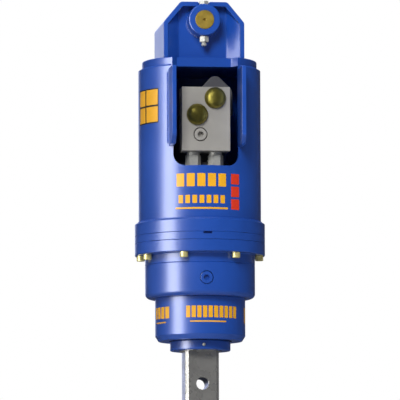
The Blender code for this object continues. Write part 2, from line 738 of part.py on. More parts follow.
def make_input_cover():
    bore = MOTOR_STEM_RADIUS + RUNNING_GAP
    cover = ring("input_cover", FLANGE_RADIUS, bore, COVER_BOTTOM, COVER_TOP, LARGE_STEPS, BLUE_PAINT)
    combine(cover, bolt_holes("cover_bolt_holes", COVER_BOTTOM - OVERRUN, COVER_TOP + OVERRUN))
    half = PRY_SLOT_WIDTH / 2
    low = (-half, -FLANGE_RADIUS - OVERRUN, COVER_TOP - PRY_SLOT_HEIGHT)
    high = (half, -FLANGE_RADIUS + PRY_SLOT_DEPTH, COVER_TOP + OVERRUN)
    combine(cover, box_cutter("pry_slot", low, high))


def make_ring_gear():
    phase = ring_phase(FINAL_SUN_TEETH)
    outlines = [circle(RING_OUTER_RADIUS, LARGE_STEPS), gear_outline(RING_TEETH, phase, internal=True)]
    gear = extruded("ring_gear", outlines, GEARBOX_TOP - RING_BOTTOM, GEAR_STEEL)
    gear.data.transform(Matrix.Translation((0, 0, RING_BOTTOM)))


def make_planets(prefix, sun_teeth, pin_radius, bottom, width):
    teeth = planet_teeth(sun_teeth)
    for index, centre in enumerate(planet_centres(sun_teeth)):
        phase = planet_phase(sun_teeth, planet_angle(index))
        outlines = [gear_outline(teeth, phase), circle(pin_radius + SEAT_GAP, SMALL_STEPS)]
        planet = extruded(f"{prefix}_planet_{index + 1}", outlines, width, GEAR_STEEL)
        planet.location = (*centre, bottom)


def make_carrier(name, plate, bore, pin_radius, sun_teeth, pins_top, steps):
    """A plate (radius, bottom, top) with the planets' pins standing on it in one piece."""
    radius, bottom, top = plate
    carrier = ring(f"{name}_carrier", radius, bore, bottom, top, steps, GEAR_STEEL)
    root = (bottom + top) / 2
    pins = [(pin_radius, (*centre, root), (*centre, pins_top)) for centre in planet_centres(sun_teeth)]
    combine(carrier, rods_cutter(f"{name}_pins", pins), "UNION")


def make_final_stage():
    rim = planet_circle(FINAL_SUN_TEETH) + FINAL_PIN_RADIUS + PLATE_RIM
    plate = (rim, FINAL_PLATE_BOTTOM, FINAL_PLATE_TOP)
    bore = SPLINE_RADIUS + SEAT_GAP
    planet_bottom = FINAL_PLATE_TOP + SEAT_GAP
    pins_top = planet_bottom + FINAL_FACE_WIDTH
    make_carrier("final", plate, bore, FINAL_PIN_RADIUS, FINAL_SUN_TEETH, pins_top, MEDIUM_STEPS)
    make_planets("final", FINAL_SUN_TEETH, FINAL_PIN_RADIUS, planet_bottom, FINAL_FACE_WIDTH)
    washer_outer = SUN_STUB_RADIUS + WASHER_WALL
    washer_top = WASHER_BOTTOM + WASHER_THICKNESS
    ring("thrust_washer", washer_outer, SUN_STUB_RADIUS, WASHER_BOTTOM, washer_top, SMALL_STEPS, PIN_ZINC)
    sun = extruded("final_sun", [gear_outline(FINAL_SUN_TEETH, 0)], FINAL_FACE_WIDTH, GEAR_STEEL)
    sun.data.transform(Matrix.Translation((0, 0, FINAL_SUN_BOTTOM)))
    stub_bottom = FINAL_SUN_TOP - FINAL_FACE_WIDTH / 8
    stub_top = FIRST_PLATE_TOP - SEAT_GAP
    stub = turned(
        "final_sun_stub", disc_profile(SUN_STUB_RADIUS, stub_bottom, stub_top), SMALL_STEPS, GEAR_STEEL,
        False, CUTTERS,
    )
    combine(sun, as_cutter(stub), "UNION")


def make_first_stage():
    rim = planet_circle(FIRST_SUN_TEETH) + FIRST_PIN_RADIUS + PLATE_RIM
    plate = (rim, FIRST_PLATE_BOTTOM, FIRST_PLATE_TOP)
    bore = SUN_STUB_RADIUS + SEAT_GAP
    make_carrier("first", plate, bore, FIRST_PIN_RADIUS, FIRST_SUN_TEETH, FIRST_GEAR_TOP, MEDIUM_STEPS)
    make_planets("first", FIRST_SUN_TEETH, FIRST_PIN_RADIUS, FIRST_GEAR_BOTTOM, FIRST_FACE_WIDTH)
    sun = extruded("first_sun", [gear_outline(FIRST_SUN_TEETH, 0)], FIRST_FACE_WIDTH, GEAR_STEEL)
    sun.data.transform(Matrix.Translation((0, 0, FIRST_GEAR_BOTTOM)))
    stem_bottom = FIRST_GEAR_TOP - FIRST_FACE_WIDTH / 8
    stem_top = MOTOR_FLANGE_TOP - SEAT_GAP
    stem = turned(
        "first_sun_stem", disc_profile(MOTOR_STEM_RADIUS, stem_bottom, stem_top), SMALL_STEPS, GEAR_STEEL,
        False, CUTTERS,
    )
    combine(sun, as_cutter(stem), "UNION")


def motor_bolt_places():
    return [polar(MOTOR_BOLT_CIRCLE, angle, 0) for angle in (-90, 90)]


def motor_bolt_holes(name, bottom, top):
    radius = MOTOR_BOLT_RADIUS + SEAT_GAP
    rods = [(radius, spot + Vector((0, 0, bottom)), spot + Vector((0, 0, top))) for spot in motor_bolt_places()]
    return rods_cutter(name, rods, TINY_STEPS)


def make_base_flange():
    bore = MOTOR_SPIGOT_RADIUS + SEAT_GAP
    flange = ring("hood_base_flange", FLANGE_RADIUS, bore, BASE_BOTTOM, BASE_TOP, LARGE_STEPS, BLUE_PAINT)
    bolt_top = BASE_BOTTOM + FLANGE_BOLT_BITE + SEAT_GAP
    combine(flange, bolt_holes("base_bolt_holes", BASE_BOTTOM - OVERRUN, bolt_top))
    motor_bottom = BASE_TOP - MOTOR_BOLT_BITE - SEAT_GAP
    combine(flange, motor_bolt_holes("base_motor_holes", motor_bottom, BASE_TOP + OVERRUN))


def make_hood_tube():
    tube = ring("hood_tube", HOOD_RADIUS, HOOD_BORE, HOOD_BOTTOM, HOOD_TOP, LARGE_STEPS, BLUE_PAINT)
    half = WINDOW_WIDTH / 2
    bottom = HOOD_TOP - WINDOW_HEIGHT
    top = HOOD_TOP + OVERRUN + WINDOW_CORNER
    outline = rounded([(-half, bottom), (half, bottom), (half, top), (-half, top)], WINDOW_CORNER)
    window = extruded("window_cutter", [outline], HOOD_RADIUS, BLUE_PAINT, CUTTERS)
    combine(tube, as_cutter(stand_up(window, -HOOD_RADIUS - OVERRUN)))


def make_cheek(name, side):
    """A plate beside the window. Its outline is (distance to the front, height)."""
    top = HOOD_TOP - CHEEK_TOP_DROP
    bottom = top - CHEEK_HEIGHT
    corners = [
        (0, bottom),
        (CHEEK_FRONT - CHEEK_TAPER, bottom),
        (CHEEK_FRONT, bottom + CHEEK_TAPER),
        (CHEEK_FRONT, top),
        (0, top),
    ]
    outline = [corners[0], *rounded(corners, CHEEK_CORNER)[5:15], *corners[3:]]
    cheek = extruded(name, [outline], CHEEK_THICKNESS, BLUE_PAINT)
    upright = Matrix(((0, 0, side, 0), (-1, 0, 0, 0), (0, 1, 0, 0), (0, 0, 0, 1)))
    offset = Matrix.Translation((side * WINDOW_WIDTH / 2, 0, 0))
    cheek.data.transform(offset @ upright)
    if (offset @ upright).determinant() < 0:
        cheek.data.flip_normals()
    profile = disc_profile(HOOD_RADIUS + SEAT_GAP, HOOD_BOTTOM, HOOD_TOP + OVERRUN)
    trim = turned(name + "_trim", profile, LARGE_STEPS, BLUE_PAINT, False, CUTTERS)
    combine(cheek, as_cutter(trim))


def make_top_plate():
    edge = TOP_PLATE_THICKNESS / 8
    profile = [
        (0, TOP_PLATE_TOP),
        (TOP_PLATE_RADIUS - edge, TOP_PLATE_TOP),
        (TOP_PLATE_RADIUS, TOP_PLATE_TOP - edge),
        (TOP_PLATE_RADIUS, TOP_PLATE_BOTTOM),
        (0, TOP_PLATE_BOTTOM),
    ]
    plate = turned("hood_top_plate", profile, LARGE_STEPS, BLUE_PAINT, closed=False)
    half = NOTCH_WIDTH / 2
    edge_y = math.sqrt(TOP_PLATE_RADIUS**2 - (half + NOTCH_FLARE) ** 2)
    slope = NOTCH_FLARE / (edge_y - NOTCH_BACK)
    front = TOP_PLATE_RADIUS + OVERRUN
    wide = half + slope * (front - NOTCH_BACK)
    outline = [(-half, -NOTCH_BACK), (-wide, -front), (wide, -front), (half, -NOTCH_BACK)]
    notch = extruded("top_plate_notch", [outline], TOP_PLATE_THICKNESS + 2 * OVERRUN, BLUE_PAINT, CUTTERS)
    notch.data.transform(Matrix.Translation((0, 0, TOP_PLATE_BOTTOM - OVERRUN)))
    combine(plate, as_cutter(notch))


def arch_outline(inset):
    """The arch's outer outline, moved inwards by the inset, from its left foot to its right foot."""
    half = ARCH_WIDTH / 2
    slant = math.atan2(ARCH_CHAMFER_DROP, ARCH_CHAMFER_RUN)
    side_drop = inset * math.tan(slant / 2)
    shoulder = ARCH_TOP - ARCH_CHAMFER_DROP - inset * math.tan((math.pi / 2 - slant) / 2)
    crown = half - ARCH_CHAMFER_RUN - side_drop
    right = [(crown, ARCH_TOP - inset), (half - inset, shoulder), (half - inset, ARCH_BOTTOM)]
    left = [(-x, z) for x, z in reversed(right)]
    return left + right


def boss_rods(radius):
    return [(radius, (0, -BOSS_FRONT - OVERRUN, PIN_Z), (0, BOSS_FRONT + OVERRUN, PIN_Z))]


def make_arch():
    outline = arch_outline(0) + arch_outline(ARCH_WALL)[::-1]
    arch = extruded("hanger_arch", [outline], ARCH_DEPTH, BLUE_PAINT)
    stand_up(arch, -ARCH_FRONT)
    combine(arch, rods_cutter("arch_boss_recess", boss_rods(BOSS_RADIUS + SEAT_GAP), LARGE_STEPS))
    half = LINK_SLOT_WIDTH / 2
    reach = LINK_GAP / 2
    low = (-half, -reach, ARCH_TOP - ARCH_CHAMFER_RUN)
    high = (half, reach, ARCH_TOP + OVERRUN)
    combine(arch, box_cutter("link_slot", low, high))
    head_half = LOCK_BOLT_ACROSS / math.sqrt(3) + HEAD_NOTCH_CLEARANCE
    low = (-head_half, -ARCH_FRONT - OVERRUN, ARCH_TOP - ARCH_CHAMFER_RUN)
    high = (head_half, LOCK_BOLT_Y + head_half, ARCH_TOP + OVERRUN)
    combine(arch, box_cutter("bolt_head_notch", low, high))


def lug_outline(side):
    """A plate bent forwards at both wings, in plan. side is -1 for the front lug and 1 for the rear."""
    flat = LINK_GAP / 2 + LUG_THICKNESS
    wing_x = ARCH_INNER_X - SEAT_GAP
    wing_y = ARCH_FRONT - LUG_INSET
    half = LUG_FLAT_WIDTH / 2
    slope = (wing_y - flat) / (wing_x - half)
    wing_back = wing_y - LUG_THICKNESS * math.sqrt(1 + slope**2)
    bend_x = wing_x - (wing_back - LINK_GAP / 2) / slope
    right = [(half, flat), (wing_x, wing_y), (wing_x, wing_back), (bend_x, LINK_GAP / 2)]
    left = [(-x, y) for x, y in reversed(right)]
    return [(x, side * y) for x, y in right + left]


def make_lug(name, side):
    height = ARCH_TOP - ARCH_WALL - SEAT_GAP - ARCH_BOTTOM
    lug = extruded(name, [lug_outline(side)], height, BLUE_PAINT)
    lug.data.transform(Matrix.Translation((0, 0, ARCH_BOTTOM)))
    inner = arch_outline(ARCH_WALL + SEAT_GAP)
    keep = [(inner[0][0], ARCH_BOTTOM - OVERRUN), *inner[1:-1], (inner[-1][0], ARCH_BOTTOM - OVERRUN)]
    blank = extruded(name + "_outline_keeper", [keep], ARCH_DEPTH + 2 * OVERRUN, BLUE_PAINT, CUTTERS)
    combine(lug, as_cutter(stand_up(blank, -ARCH_FRONT - OVERRUN)), "INTERSECT")
    combine(lug, rods_cutter(name + "_boss_hole", boss_rods(BOSS_RADIUS + SEAT_GAP), LARGE_STEPS))


def lock_bolt_rod(radius, bottom, top):
    return [(radius, (0, LOCK_BOLT_Y, bottom), (0, LOCK_BOLT_Y, top))]


def make_boss(name, side):
    edge = ARCH_WALL / 4
    pin_bore = PIN_RADIUS + SEAT_GAP
    profile = [
        (BOSS_RADIUS - edge, BOSS_FRONT),
        (BOSS_RADIUS, BOSS_FRONT - edge),
        (BOSS_RADIUS, LINK_GAP / 2),
        (pin_bore, LINK_GAP / 2),
        (pin_bore, BOSS_FRONT),
    ]
    boss = turned(name, profile, LARGE_STEPS, BLUE_PAINT)
    boss.data.transform(Matrix.Rotation(-side * math.pi / 2, 4, "X"))
    boss.data.transform(Matrix.Translation((0, 0, PIN_Z)))
    return boss


def make_hanger_pin():
    length = 2 * (BOSS_FRONT + PIN_PROUD)
    edge = PIN_PROUD / 2
    half = length / 2
    profile = [
        (0, half),
        (PIN_RADIUS - edge, half),
        (PIN_RADIUS, half - edge),
        (PIN_RADIUS, -half + edge),
        (PIN_RADIUS - edge, -half),
        (PIN_DIMPLE_RADIUS, -half),
        (0, -half + PIN_DIMPLE_DEPTH),
    ]
    pin = turned("hitch_pin", profile, MEDIUM_STEPS, PIN_ZINC, closed=False)
    pin.data.transform(Matrix.Rotation(-math.pi / 2, 4, "X"))
    pin.data.transform(Matrix.Translation((0, 0, PIN_Z)))
    return pin


def make_lock_bolt():
    seat = PIN_Z + BOSS_RADIUS + SEAT_GAP
    head = extruded("pin_bolt", [hexagon(LOCK_BOLT_ACROSS)], LOCK_BOLT_HEAD, CLEAR_ZINC)
    head.data.transform(Matrix.Translation((0, LOCK_BOLT_Y, seat)))
    nut_top = PIN_Z - BOSS_RADIUS - SEAT_GAP
    nut_bottom = nut_top - LOCK_NUT_DEPTH
    tail = nut_bottom - LOCK_BOLT_TAIL
    shank = rods_cutter(
        "pin_bolt_shank", lock_bolt_rod(LOCK_BOLT_RADIUS, tail, seat + LOCK_BOLT_HEAD / 2), TINY_STEPS
    )
    combine(head, shank, "UNION")
    bore = circle(LOCK_BOLT_RADIUS + SEAT_GAP, TINY_STEPS)
    nut = extruded("pin_nut", [hexagon(LOCK_BOLT_ACROSS), bore], LOCK_NUT_DEPTH, CLEAR_ZINC)
    nut.data.transform(Matrix.Translation((0, LOCK_BOLT_Y, nut_bottom)))


def make_hanger():
    make_arch()
    make_lug("front_lug_plate", -1)
    make_lug("rear_lug_plate", 1)
    front = make_boss("front_pin_boss", -1)
    make_boss("rear_pin_boss", 1)
    pin = make_hanger_pin()
    reach = BOSS_RADIUS + OVERRUN
    rods = lock_bolt_rod(LOCK_BOLT_RADIUS + SEAT_GAP, PIN_Z - reach, PIN_Z + reach)
    combine(front, rods_cutter("boss_bolt_hole", rods, TINY_STEPS))
    combine(pin, rods_cutter("pin_bolt_hole", rods, TINY_STEPS))
    make_lock_bolt()


def make_motor_housing():
    bore = MOTOR_STEM_RADIUS + RUNNING_GAP
    spigot_bottom = MOTOR_SEAT - MOTOR_SPIGOT_DEPTH
    profile = [
        (0, MOTOR_TOP),
        (MOTOR_UPPER_RADIUS, MOTOR_TOP),
        (MOTOR_UPPER_RADIUS, MOTOR_LOWER_TOP),
        (MOTOR_LOWER_RADIUS, MOTOR_LOWER_TOP),
        (MOTOR_LOWER_RADIUS, MOTOR_FLANGE_TOP),
        (MOTOR_FLANGE_RADIUS, MOTOR_FLANGE_TOP),
        (MOTOR_FLANGE_RADIUS, MOTOR_SEAT),
        (MOTOR_SPIGOT_RADIUS, MOTOR_SEAT),
        (MOTOR_SPIGOT_RADIUS, spigot_bottom),
        (bore, spigot_bottom),
        (bore, MOTOR_FLANGE_TOP),
        (0, MOTOR_FLANGE_TOP),
    ]
    housing = turned("motor_housing", profile, MEDIUM_STEPS, CAST_GREY, closed=False)
    half = PORT_HOUSING_WIDTH / 2
    low = (-half, -PORT_HOUSING_FRONT, PORT_HOUSING_BOTTOM)
    high = (half, -MOTOR_LOWER_RADIUS / 2, PORT_HOUSING_TOP)
    combine(housing, box_cutter("port_housing", low, high), "UNION")
    holes = motor_bolt_holes("motor_bolt_holes", MOTOR_SEAT - OVERRUN, MOTOR_FLANGE_TOP + OVERRUN)
    combine(housing, holes)
    profile = disc_profile(MOTOR_UPPER_RADIUS, END_COVER_BOTTOM, END_COVER_TOP)
    turned("motor_end_cover", profile, MEDIUM_STEPS, CAST_GREY, closed=False)


def make_motor_bolts():
    seat = MOTOR_FLANGE_TOP + SEAT_GAP
    head = extruded("motor_bolt", [hexagon(MOTOR_BOLT_ACROSS)], MOTOR_BOLT_HEAD, CLEAR_ZINC)
    tip = BASE_TOP - MOTOR_BOLT_BITE - seat
    shank = rods_cutter(
        "motor_bolt_shank", [(MOTOR_BOLT_RADIUS, (0, 0, tip), (0, 0, MOTOR_BOLT_HEAD / 2))], TINY_STEPS
    )
    combine(head, shank, "UNION")
    lift = Vector((0, 0, seat))
    copies(head, [spot + lift for spot in motor_bolt_places()])


def make_valve_housing():
    """The lobed casting that peaks above the manifold, its outline in XZ."""
    half = VALVE_WIDTH / 2
    top = END_COVER_TOP + SEAT_GAP + VALVE_HEIGHT
    bottom = END_COVER_TOP + SEAT_GAP
    shoulder = top - VALVE_SHOULDER_DROP
    corners = [
        (VALVE_OFFSET - half, bottom),
        (VALVE_OFFSET + half, bottom),
        (VALVE_OFFSET + half, shoulder),
        (VALVE_OFFSET, top),
        (VALVE_OFFSET - half, shoulder),
    ]
    arcs = rounded(corners, VALVE_PEAK_RADIUS)
    outline = [corners[0], corners[1], *arcs[10:]]
    housing = extruded("valve_housing", [outline], VALVE_DEPTH, CAST_GREY)
    stand_up(housing, -MOTOR_UPPER_RADIUS)


def make_manifold():
    half = MANIFOLD_WIDTH / 2
    back = -MOTOR_UPPER_RADIUS - SEAT_GAP
    work = bmesh.new()
    box_mesh(work, (-half, -MANIFOLD_FRONT, MANIFOLD_BOTTOM), (half, back, MANIFOLD_TOP))
    from_bmesh("manifold_block", work, BLOCK_GREY)
    for name, side, drop in (("upper_port_cap", 1, UPPER_CAP_DROP), ("lower_port_cap", -1, LOWER_CAP_DROP)):
        make_port_cap(name, side * CAP_OFFSET, MANIFOLD_TOP - drop)
    face = MANIFOLD_FRONT + SEAT_GAP
    place = (-MANIFOLD_PLUG_OFFSET, MANIFOLD_TOP - MANIFOLD_PLUG_DROP)
    plug = extruded("manifold_plug", [circle(MANIFOLD_PLUG_RADIUS, SMALL_STEPS, place)], MANIFOLD_PLUG_DEPTH, CLEAR_ZINC)
    stand_up(plug, -face - MANIFOLD_PLUG_DEPTH)
    socket = [(
        MANIFOLD_PLUG_SOCKET / math.sqrt(3),
        (place[0], -face - MANIFOLD_PLUG_DEPTH - OVERRUN, place[1]),
        (place[0], -face - MANIFOLD_PLUG_DEPTH / 2, place[1]),
    )]
    combine(plug, rods_cutter("manifold_plug_socket", socket, 6))


def make_port_cap(name, x, z):
    """A domed cap on the manifold's face, turned about its own axis and then laid forwards."""
    face = MANIFOLD_FRONT + SEAT_GAP
    step = face + CAP_RING_DEPTH
    dome = [
        (CAP_RADIUS * math.cos(math.radians(18 * index)), step + CAP_DOME_DEPTH * math.sin(math.radians(18 * index)))
        for index in range(5)
    ]
    profile = [
        (0, step + CAP_DOME_DEPTH),
        *reversed(dome),
        (CAP_RING_RADIUS, step),
        (CAP_RING_RADIUS, face),
        (0, face),
    ]
    cap = turned(name, profile, SMALL_STEPS, OLIVE_CAP, closed=False)
    cap.data.transform(Matrix.Rotation(math.pi / 2, 4, "X"))
    cap.data.transform(Matrix.Translation((x, 0, z)))


def make_adaptors():
    for name, side in (("left_port_adaptor", -1), ("right_port_adaptor", 1)):
        x = side * ADAPTOR_SPACING / 2
        y = -PORT_HOUSING_FRONT + ADAPTOR_SETBACK
        adaptor = extruded(name, [hexagon(ADAPTOR_ACROSS)], ADAPTOR_LENGTH, CLEAR_ZINC)
        adaptor.data.transform(Matrix.Translation((x, y, ADAPTOR_BOTTOM)))


def main():
    make_shaft()
    make_seal_cover()
    make_bearing_housing()
    make_bearings()
    make_gearbox_housing()
    make_flange_bolts()
    make_input_cover()
    make_ring_gear()
    make_final_stage()
    make_first_stage()
    make_base_flange()
    make_hood_tube()
    make_cheek("left_window_cheek", -1)
    make_cheek("right_window_cheek", 1)
    make_top_plate()
    make_hanger()
    make_motor_housing()
    make_motor_bolts()
    make_valve_housing()
    make_manifold()
    make_adaptors()


main()
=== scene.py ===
"""Earth auger drive: the finished model of the packed drive, its materials, its lights and its camera.

Lengths are in metres, +Z is up along the output shaft, and -Y is the front with the hood's window.
"""

import json
import math

import bmesh
import bpy
from bpy.props import FloatProperty, FloatVectorProperty, PointerProperty
from mathutils import Matrix, Quaternion, Vector

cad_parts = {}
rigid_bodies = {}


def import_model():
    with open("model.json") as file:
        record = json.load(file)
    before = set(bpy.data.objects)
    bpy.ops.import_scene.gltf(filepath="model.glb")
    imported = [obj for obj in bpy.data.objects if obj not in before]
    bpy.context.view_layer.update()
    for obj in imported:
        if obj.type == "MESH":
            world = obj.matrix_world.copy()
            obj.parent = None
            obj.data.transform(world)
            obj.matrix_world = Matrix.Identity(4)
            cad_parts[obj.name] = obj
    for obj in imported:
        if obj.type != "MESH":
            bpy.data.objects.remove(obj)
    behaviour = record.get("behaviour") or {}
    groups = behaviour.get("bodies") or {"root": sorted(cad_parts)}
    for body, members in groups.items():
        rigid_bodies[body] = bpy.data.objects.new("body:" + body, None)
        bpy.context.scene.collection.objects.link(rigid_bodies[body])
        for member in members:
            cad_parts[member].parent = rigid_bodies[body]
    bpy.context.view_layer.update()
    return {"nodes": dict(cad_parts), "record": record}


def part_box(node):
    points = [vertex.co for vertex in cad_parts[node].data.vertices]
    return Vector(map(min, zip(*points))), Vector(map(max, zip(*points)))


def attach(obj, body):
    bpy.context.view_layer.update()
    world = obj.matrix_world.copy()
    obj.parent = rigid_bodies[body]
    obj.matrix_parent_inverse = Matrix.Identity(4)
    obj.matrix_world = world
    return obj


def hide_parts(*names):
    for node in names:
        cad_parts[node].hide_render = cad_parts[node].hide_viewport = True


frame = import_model()

bl_info = {
    "name": "Earth auger drive",
    "version": (1, 0, 0),
    "blender": (4, 5, 0),
    "location": "View3D > Sidebar > Auger",
    "description": "Builds an earth auger drive with its paint, plating, lights and camera",
    "category": "Add Mesh",
}

CASING = "casing"
SHAFT = "shaft"
SHARP_ANGLE = math.radians(32)
NEARLY_STRAIGHT = math.radians(87)
NEARLY_FLAT = math.radians(1)
MERGE_DISTANCE = 0.00001
MOST_CORNER_SHARE = 0.45
OVERRUN_SHARE = 1.2
ROUND_STEPS = 160
SMALL_ROUND_STEPS = 64


def corners(node):
    """The lowest and highest corner of a packed node."""
    low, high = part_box(node)
    return Vector(low), Vector(high)


def middle(node):
    low, high = corners(node)
    return (low + high) / 2


def radius_of(node):
    low, high = corners(node)
    return (high.x - low.x) / 2


def linear(code):
    """A linear colour from an sRGB hex code such as 2A5CB0."""
    values = [int(code[index:index + 2], 16) / 255 for index in (0, 2, 4)]
    return tuple(v / 12.92 if v <= 0.04045 else ((v + 0.055) / 1.055) ** 2.4 for v in values)


# Shapes


def add_object(name, data):
    item = bpy.data.objects.new(name, data)
    bpy.context.scene.collection.objects.link(item)
    return item


def from_bmesh(name, work):
    mesh = bpy.data.meshes.new(name)
    work.to_mesh(mesh)
    work.free()
    return add_object(name, mesh)


def evaluated_mesh(item):
    bpy.context.view_layer.update()
    graph = bpy.context.evaluated_depsgraph_get()
    return bpy.data.meshes.new_from_object(item.evaluated_get(graph))


def bake(item):
    """Turn the modifiers into plain mesh."""
    mesh = evaluated_mesh(item)
    item.modifiers.clear()
    item.data = mesh
    return item


def add_spline(curve, places, closed=True):
    """Add a line of straight stretches through flat or solid places."""
    spline = curve.splines.new("POLY")
    spline.points.add(len(places) - 1)
    for point, place in zip(spline.points, places):
        point.co = (*Vector(place).to_3d(), 1)
    spline.use_cyclic_u = closed
    return spline


def turned(name, profile, radii=0, steps=ROUND_STEPS, arc_steps=4):
    """Turn a profile of (radius, height) points round Z, with its corners rounded.

    It runs down its outer side first, and is closed unless it starts on the axis.
    """
    profile = rounded(profile, radii, arc_steps)
    mesh = bpy.data.meshes.new(name)
    count = len(profile)
    closed = profile[0][0] > 0
    edges = [(index, (index + 1) % count) for index in range(count if closed else count - 1)]
    mesh.from_pydata([(radius, 0, height) for radius, height in profile], edges, [])
    item = add_object(name, mesh)
    screw = item.modifiers.new("turn", "SCREW")
    screw.axis = "Z"
    screw.steps = steps
    screw.render_steps = steps
    screw.use_merge_vertices = True
    screw.merge_threshold = MERGE_DISTANCE
    return bake(item)


def rounded(outline, radii, steps=4):
    """Round the corners of a closed outline. Its radii are one for all, or one each with 0 for sharp."""
    if not isinstance(radii, list):
        radii = [radii] * len(outline)
    result = []
    for index, (corner, wanted) in enumerate(zip(outline, radii)):
        here = Vector(corner)
        before = Vector(outline[index - 1]) - here
        after = Vector(outline[(index + 1) % len(outline)]) - here
        half = before.angle(after) / 2
        if wanted == 0 or half > NEARLY_STRAIGHT:
            result.append(tuple(here))
            continue
        most = min(before.length, after.length) * MOST_CORNER_SHARE
        reach = min(wanted / math.tan(half), most)
        radius = reach * math.tan(half)
        centre = here + (before.normalized() + after.normalized()).normalized() * radius / math.sin(half)
        start = here + before.normalized() * reach - centre
        end = here + after.normalized() * reach - centre
        for step in range(steps + 1):
            result.append(tuple(centre + start.lerp(end, step / steps).normalized() * radius))
    return result


def extruded(name, outlines, depth):
    """Fill flat outlines, the later ones as holes, and extrude them to z = 0 .. depth."""
    curve = bpy.data.curves.new(name, "CURVE")
    curve.dimensions = "2D"
    curve.fill_mode = "BOTH"
    curve.extrude = depth / 2
    for outline in outlines:
        add_spline(curve, outline)
    guide = add_object(name, curve)
    work = bmesh.new()
    work.from_mesh(evaluated_mesh(guide))
    bpy.data.objects.remove(guide, do_unlink=True)
    bmesh.ops.remove_doubles(work, verts=work.verts, dist=MERGE_DISTANCE)
    bmesh.ops.dissolve_limit(work, angle_limit=NEARLY_FLAT, verts=work.verts, edges=work.edges)
    bmesh.ops.translate(work, verts=work.verts, vec=(0, 0, depth / 2))
    bmesh.ops.recalc_face_normals(work, faces=work.faces)
    return from_bmesh(name, work)


def move(item, matrix):
    item.data.transform(matrix)
    if matrix.determinant() < 0:
        item.data.flip_normals()
    return item


def shift(item, x=0.0, y=0.0, z=0.0):
    return move(item, Matrix.Translation((x, y, z)))


def turn_back(item, quarters):
    """Turn by quarters of a turn about X, which takes +Z to -Y."""
    return move(item, Matrix.Rotation(quarters * math.pi / 2, 4, "X"))


def face_front(item, front):
    """Stand up a piece that was made lying, its top turned to the front, at y = front."""
    depth = max(vertex.co.z for vertex in item.data.vertices)
    return shift(turn_back(item, 1), y=front + depth)


def stand_at(item, node):
    """Stand up a piece that was made lying round the origin, in its node's place."""
    place = middle(node)
    return shift(face_front(item, corners(node)[0].y), place.x, 0, place.z)


def circle(radius, steps=SMALL_ROUND_STEPS, centre=(0, 0)):
    angles = [math.tau * index / steps for index in range(steps)]
    return [(centre[0] + radius * math.cos(a), centre[1] + radius * math.sin(a)) for a in angles]


def disc_profile(radius, bottom, top):
    return [(0, top), (radius, top), (radius, bottom), (0, bottom)]


def ring_profile(outer, bore, bottom, top):
    return [(outer, top), (outer, bottom), (bore, bottom), (bore, top)]


def box(name, low, high):
    work = bmesh.new()
    made = bmesh.ops.create_cube(work, size=1)
    size = Vector(high) - Vector(low)
    place = Matrix.Translation((Vector(high) + Vector(low)) / 2) @ Matrix.Diagonal((*size, 1))
    bmesh.ops.transform(work, matrix=place, verts=made["verts"])
    return from_bmesh(name, work)


def rod(name, radius, start, end, steps=SMALL_ROUND_STEPS):
    """A closed rod from one place to another."""
    work = bmesh.new()
    span = Vector(end) - Vector(start)
    turn = Vector((0, 0, 1)).rotation_difference(span).to_matrix().to_4x4()
    place = Matrix.Translation((Vector(start) + Vector(end)) / 2) @ turn
    bmesh.ops.create_cone(
        work, cap_ends=True, segments=steps, radius1=radius, radius2=radius, depth=span.length, matrix=place
    )
    return from_bmesh(name, work)


def combine(item, tool, operation="DIFFERENCE"):
    """Cut, join or intersect with a tool, which is used up."""
    modifier = item.modifiers.new(operation.lower(), "BOOLEAN")
    modifier.operation = operation
    modifier.solver = "EXACT"
    modifier.object = tool
    bake(item)
    bpy.data.objects.remove(tool, do_unlink=True)
    return item


def bevelled(item, width, segments=3, angle=40):
    """Round the edges that turn by more than the angle, in degrees."""
    modifier = item.modifiers.new("edge", "BEVEL")
    modifier.width = width
    modifier.segments = segments
    modifier.limit_method = "ANGLE"
    modifier.angle_limit = math.radians(angle)
    modifier.harden_normals = False
    return bake(item)


def polar(radius, degrees, height):
    """A point at an angle from the front, positive towards +X."""
    angle = math.radians(degrees)
    return Vector((radius * math.sin(angle), -radius * math.cos(angle), height))


def finish_piece(item, slot, *nodes, body=CASING, look=None):
    """Shade a piece, give it its material and tie it to its body and to the nodes that it stands for."""
    item.data.shade_smooth()
    item.data.set_sharp_from_angle(angle=SHARP_ANGLE)
    item.modifiers.new("flat", "WEIGHTED_NORMAL").keep_sharp = True
    bake(item)
    give_material(item, look or slot)
    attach(item, body)
    if nodes:
        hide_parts(*nodes)
    return item


def painted(item, *nodes):
    return finish_piece(item, "blue_paint", *nodes)


# Sizes and colours that a user would change


def length(name, description, default):
    return FloatProperty(name=name, description=description, default=default, unit="LENGTH")


def angular(name, description, degrees):
    return FloatProperty(name=name, description=description, default=math.radians(degrees), subtype="ANGLE")


def power(name, description, default):
    return FloatProperty(name=name, description=description, default=default, min=0)


def colour(name, description, code):
    return FloatVectorProperty(
        name=name, description=description, default=linear(code), subtype="COLOR", size=3, min=0, max=1
    )


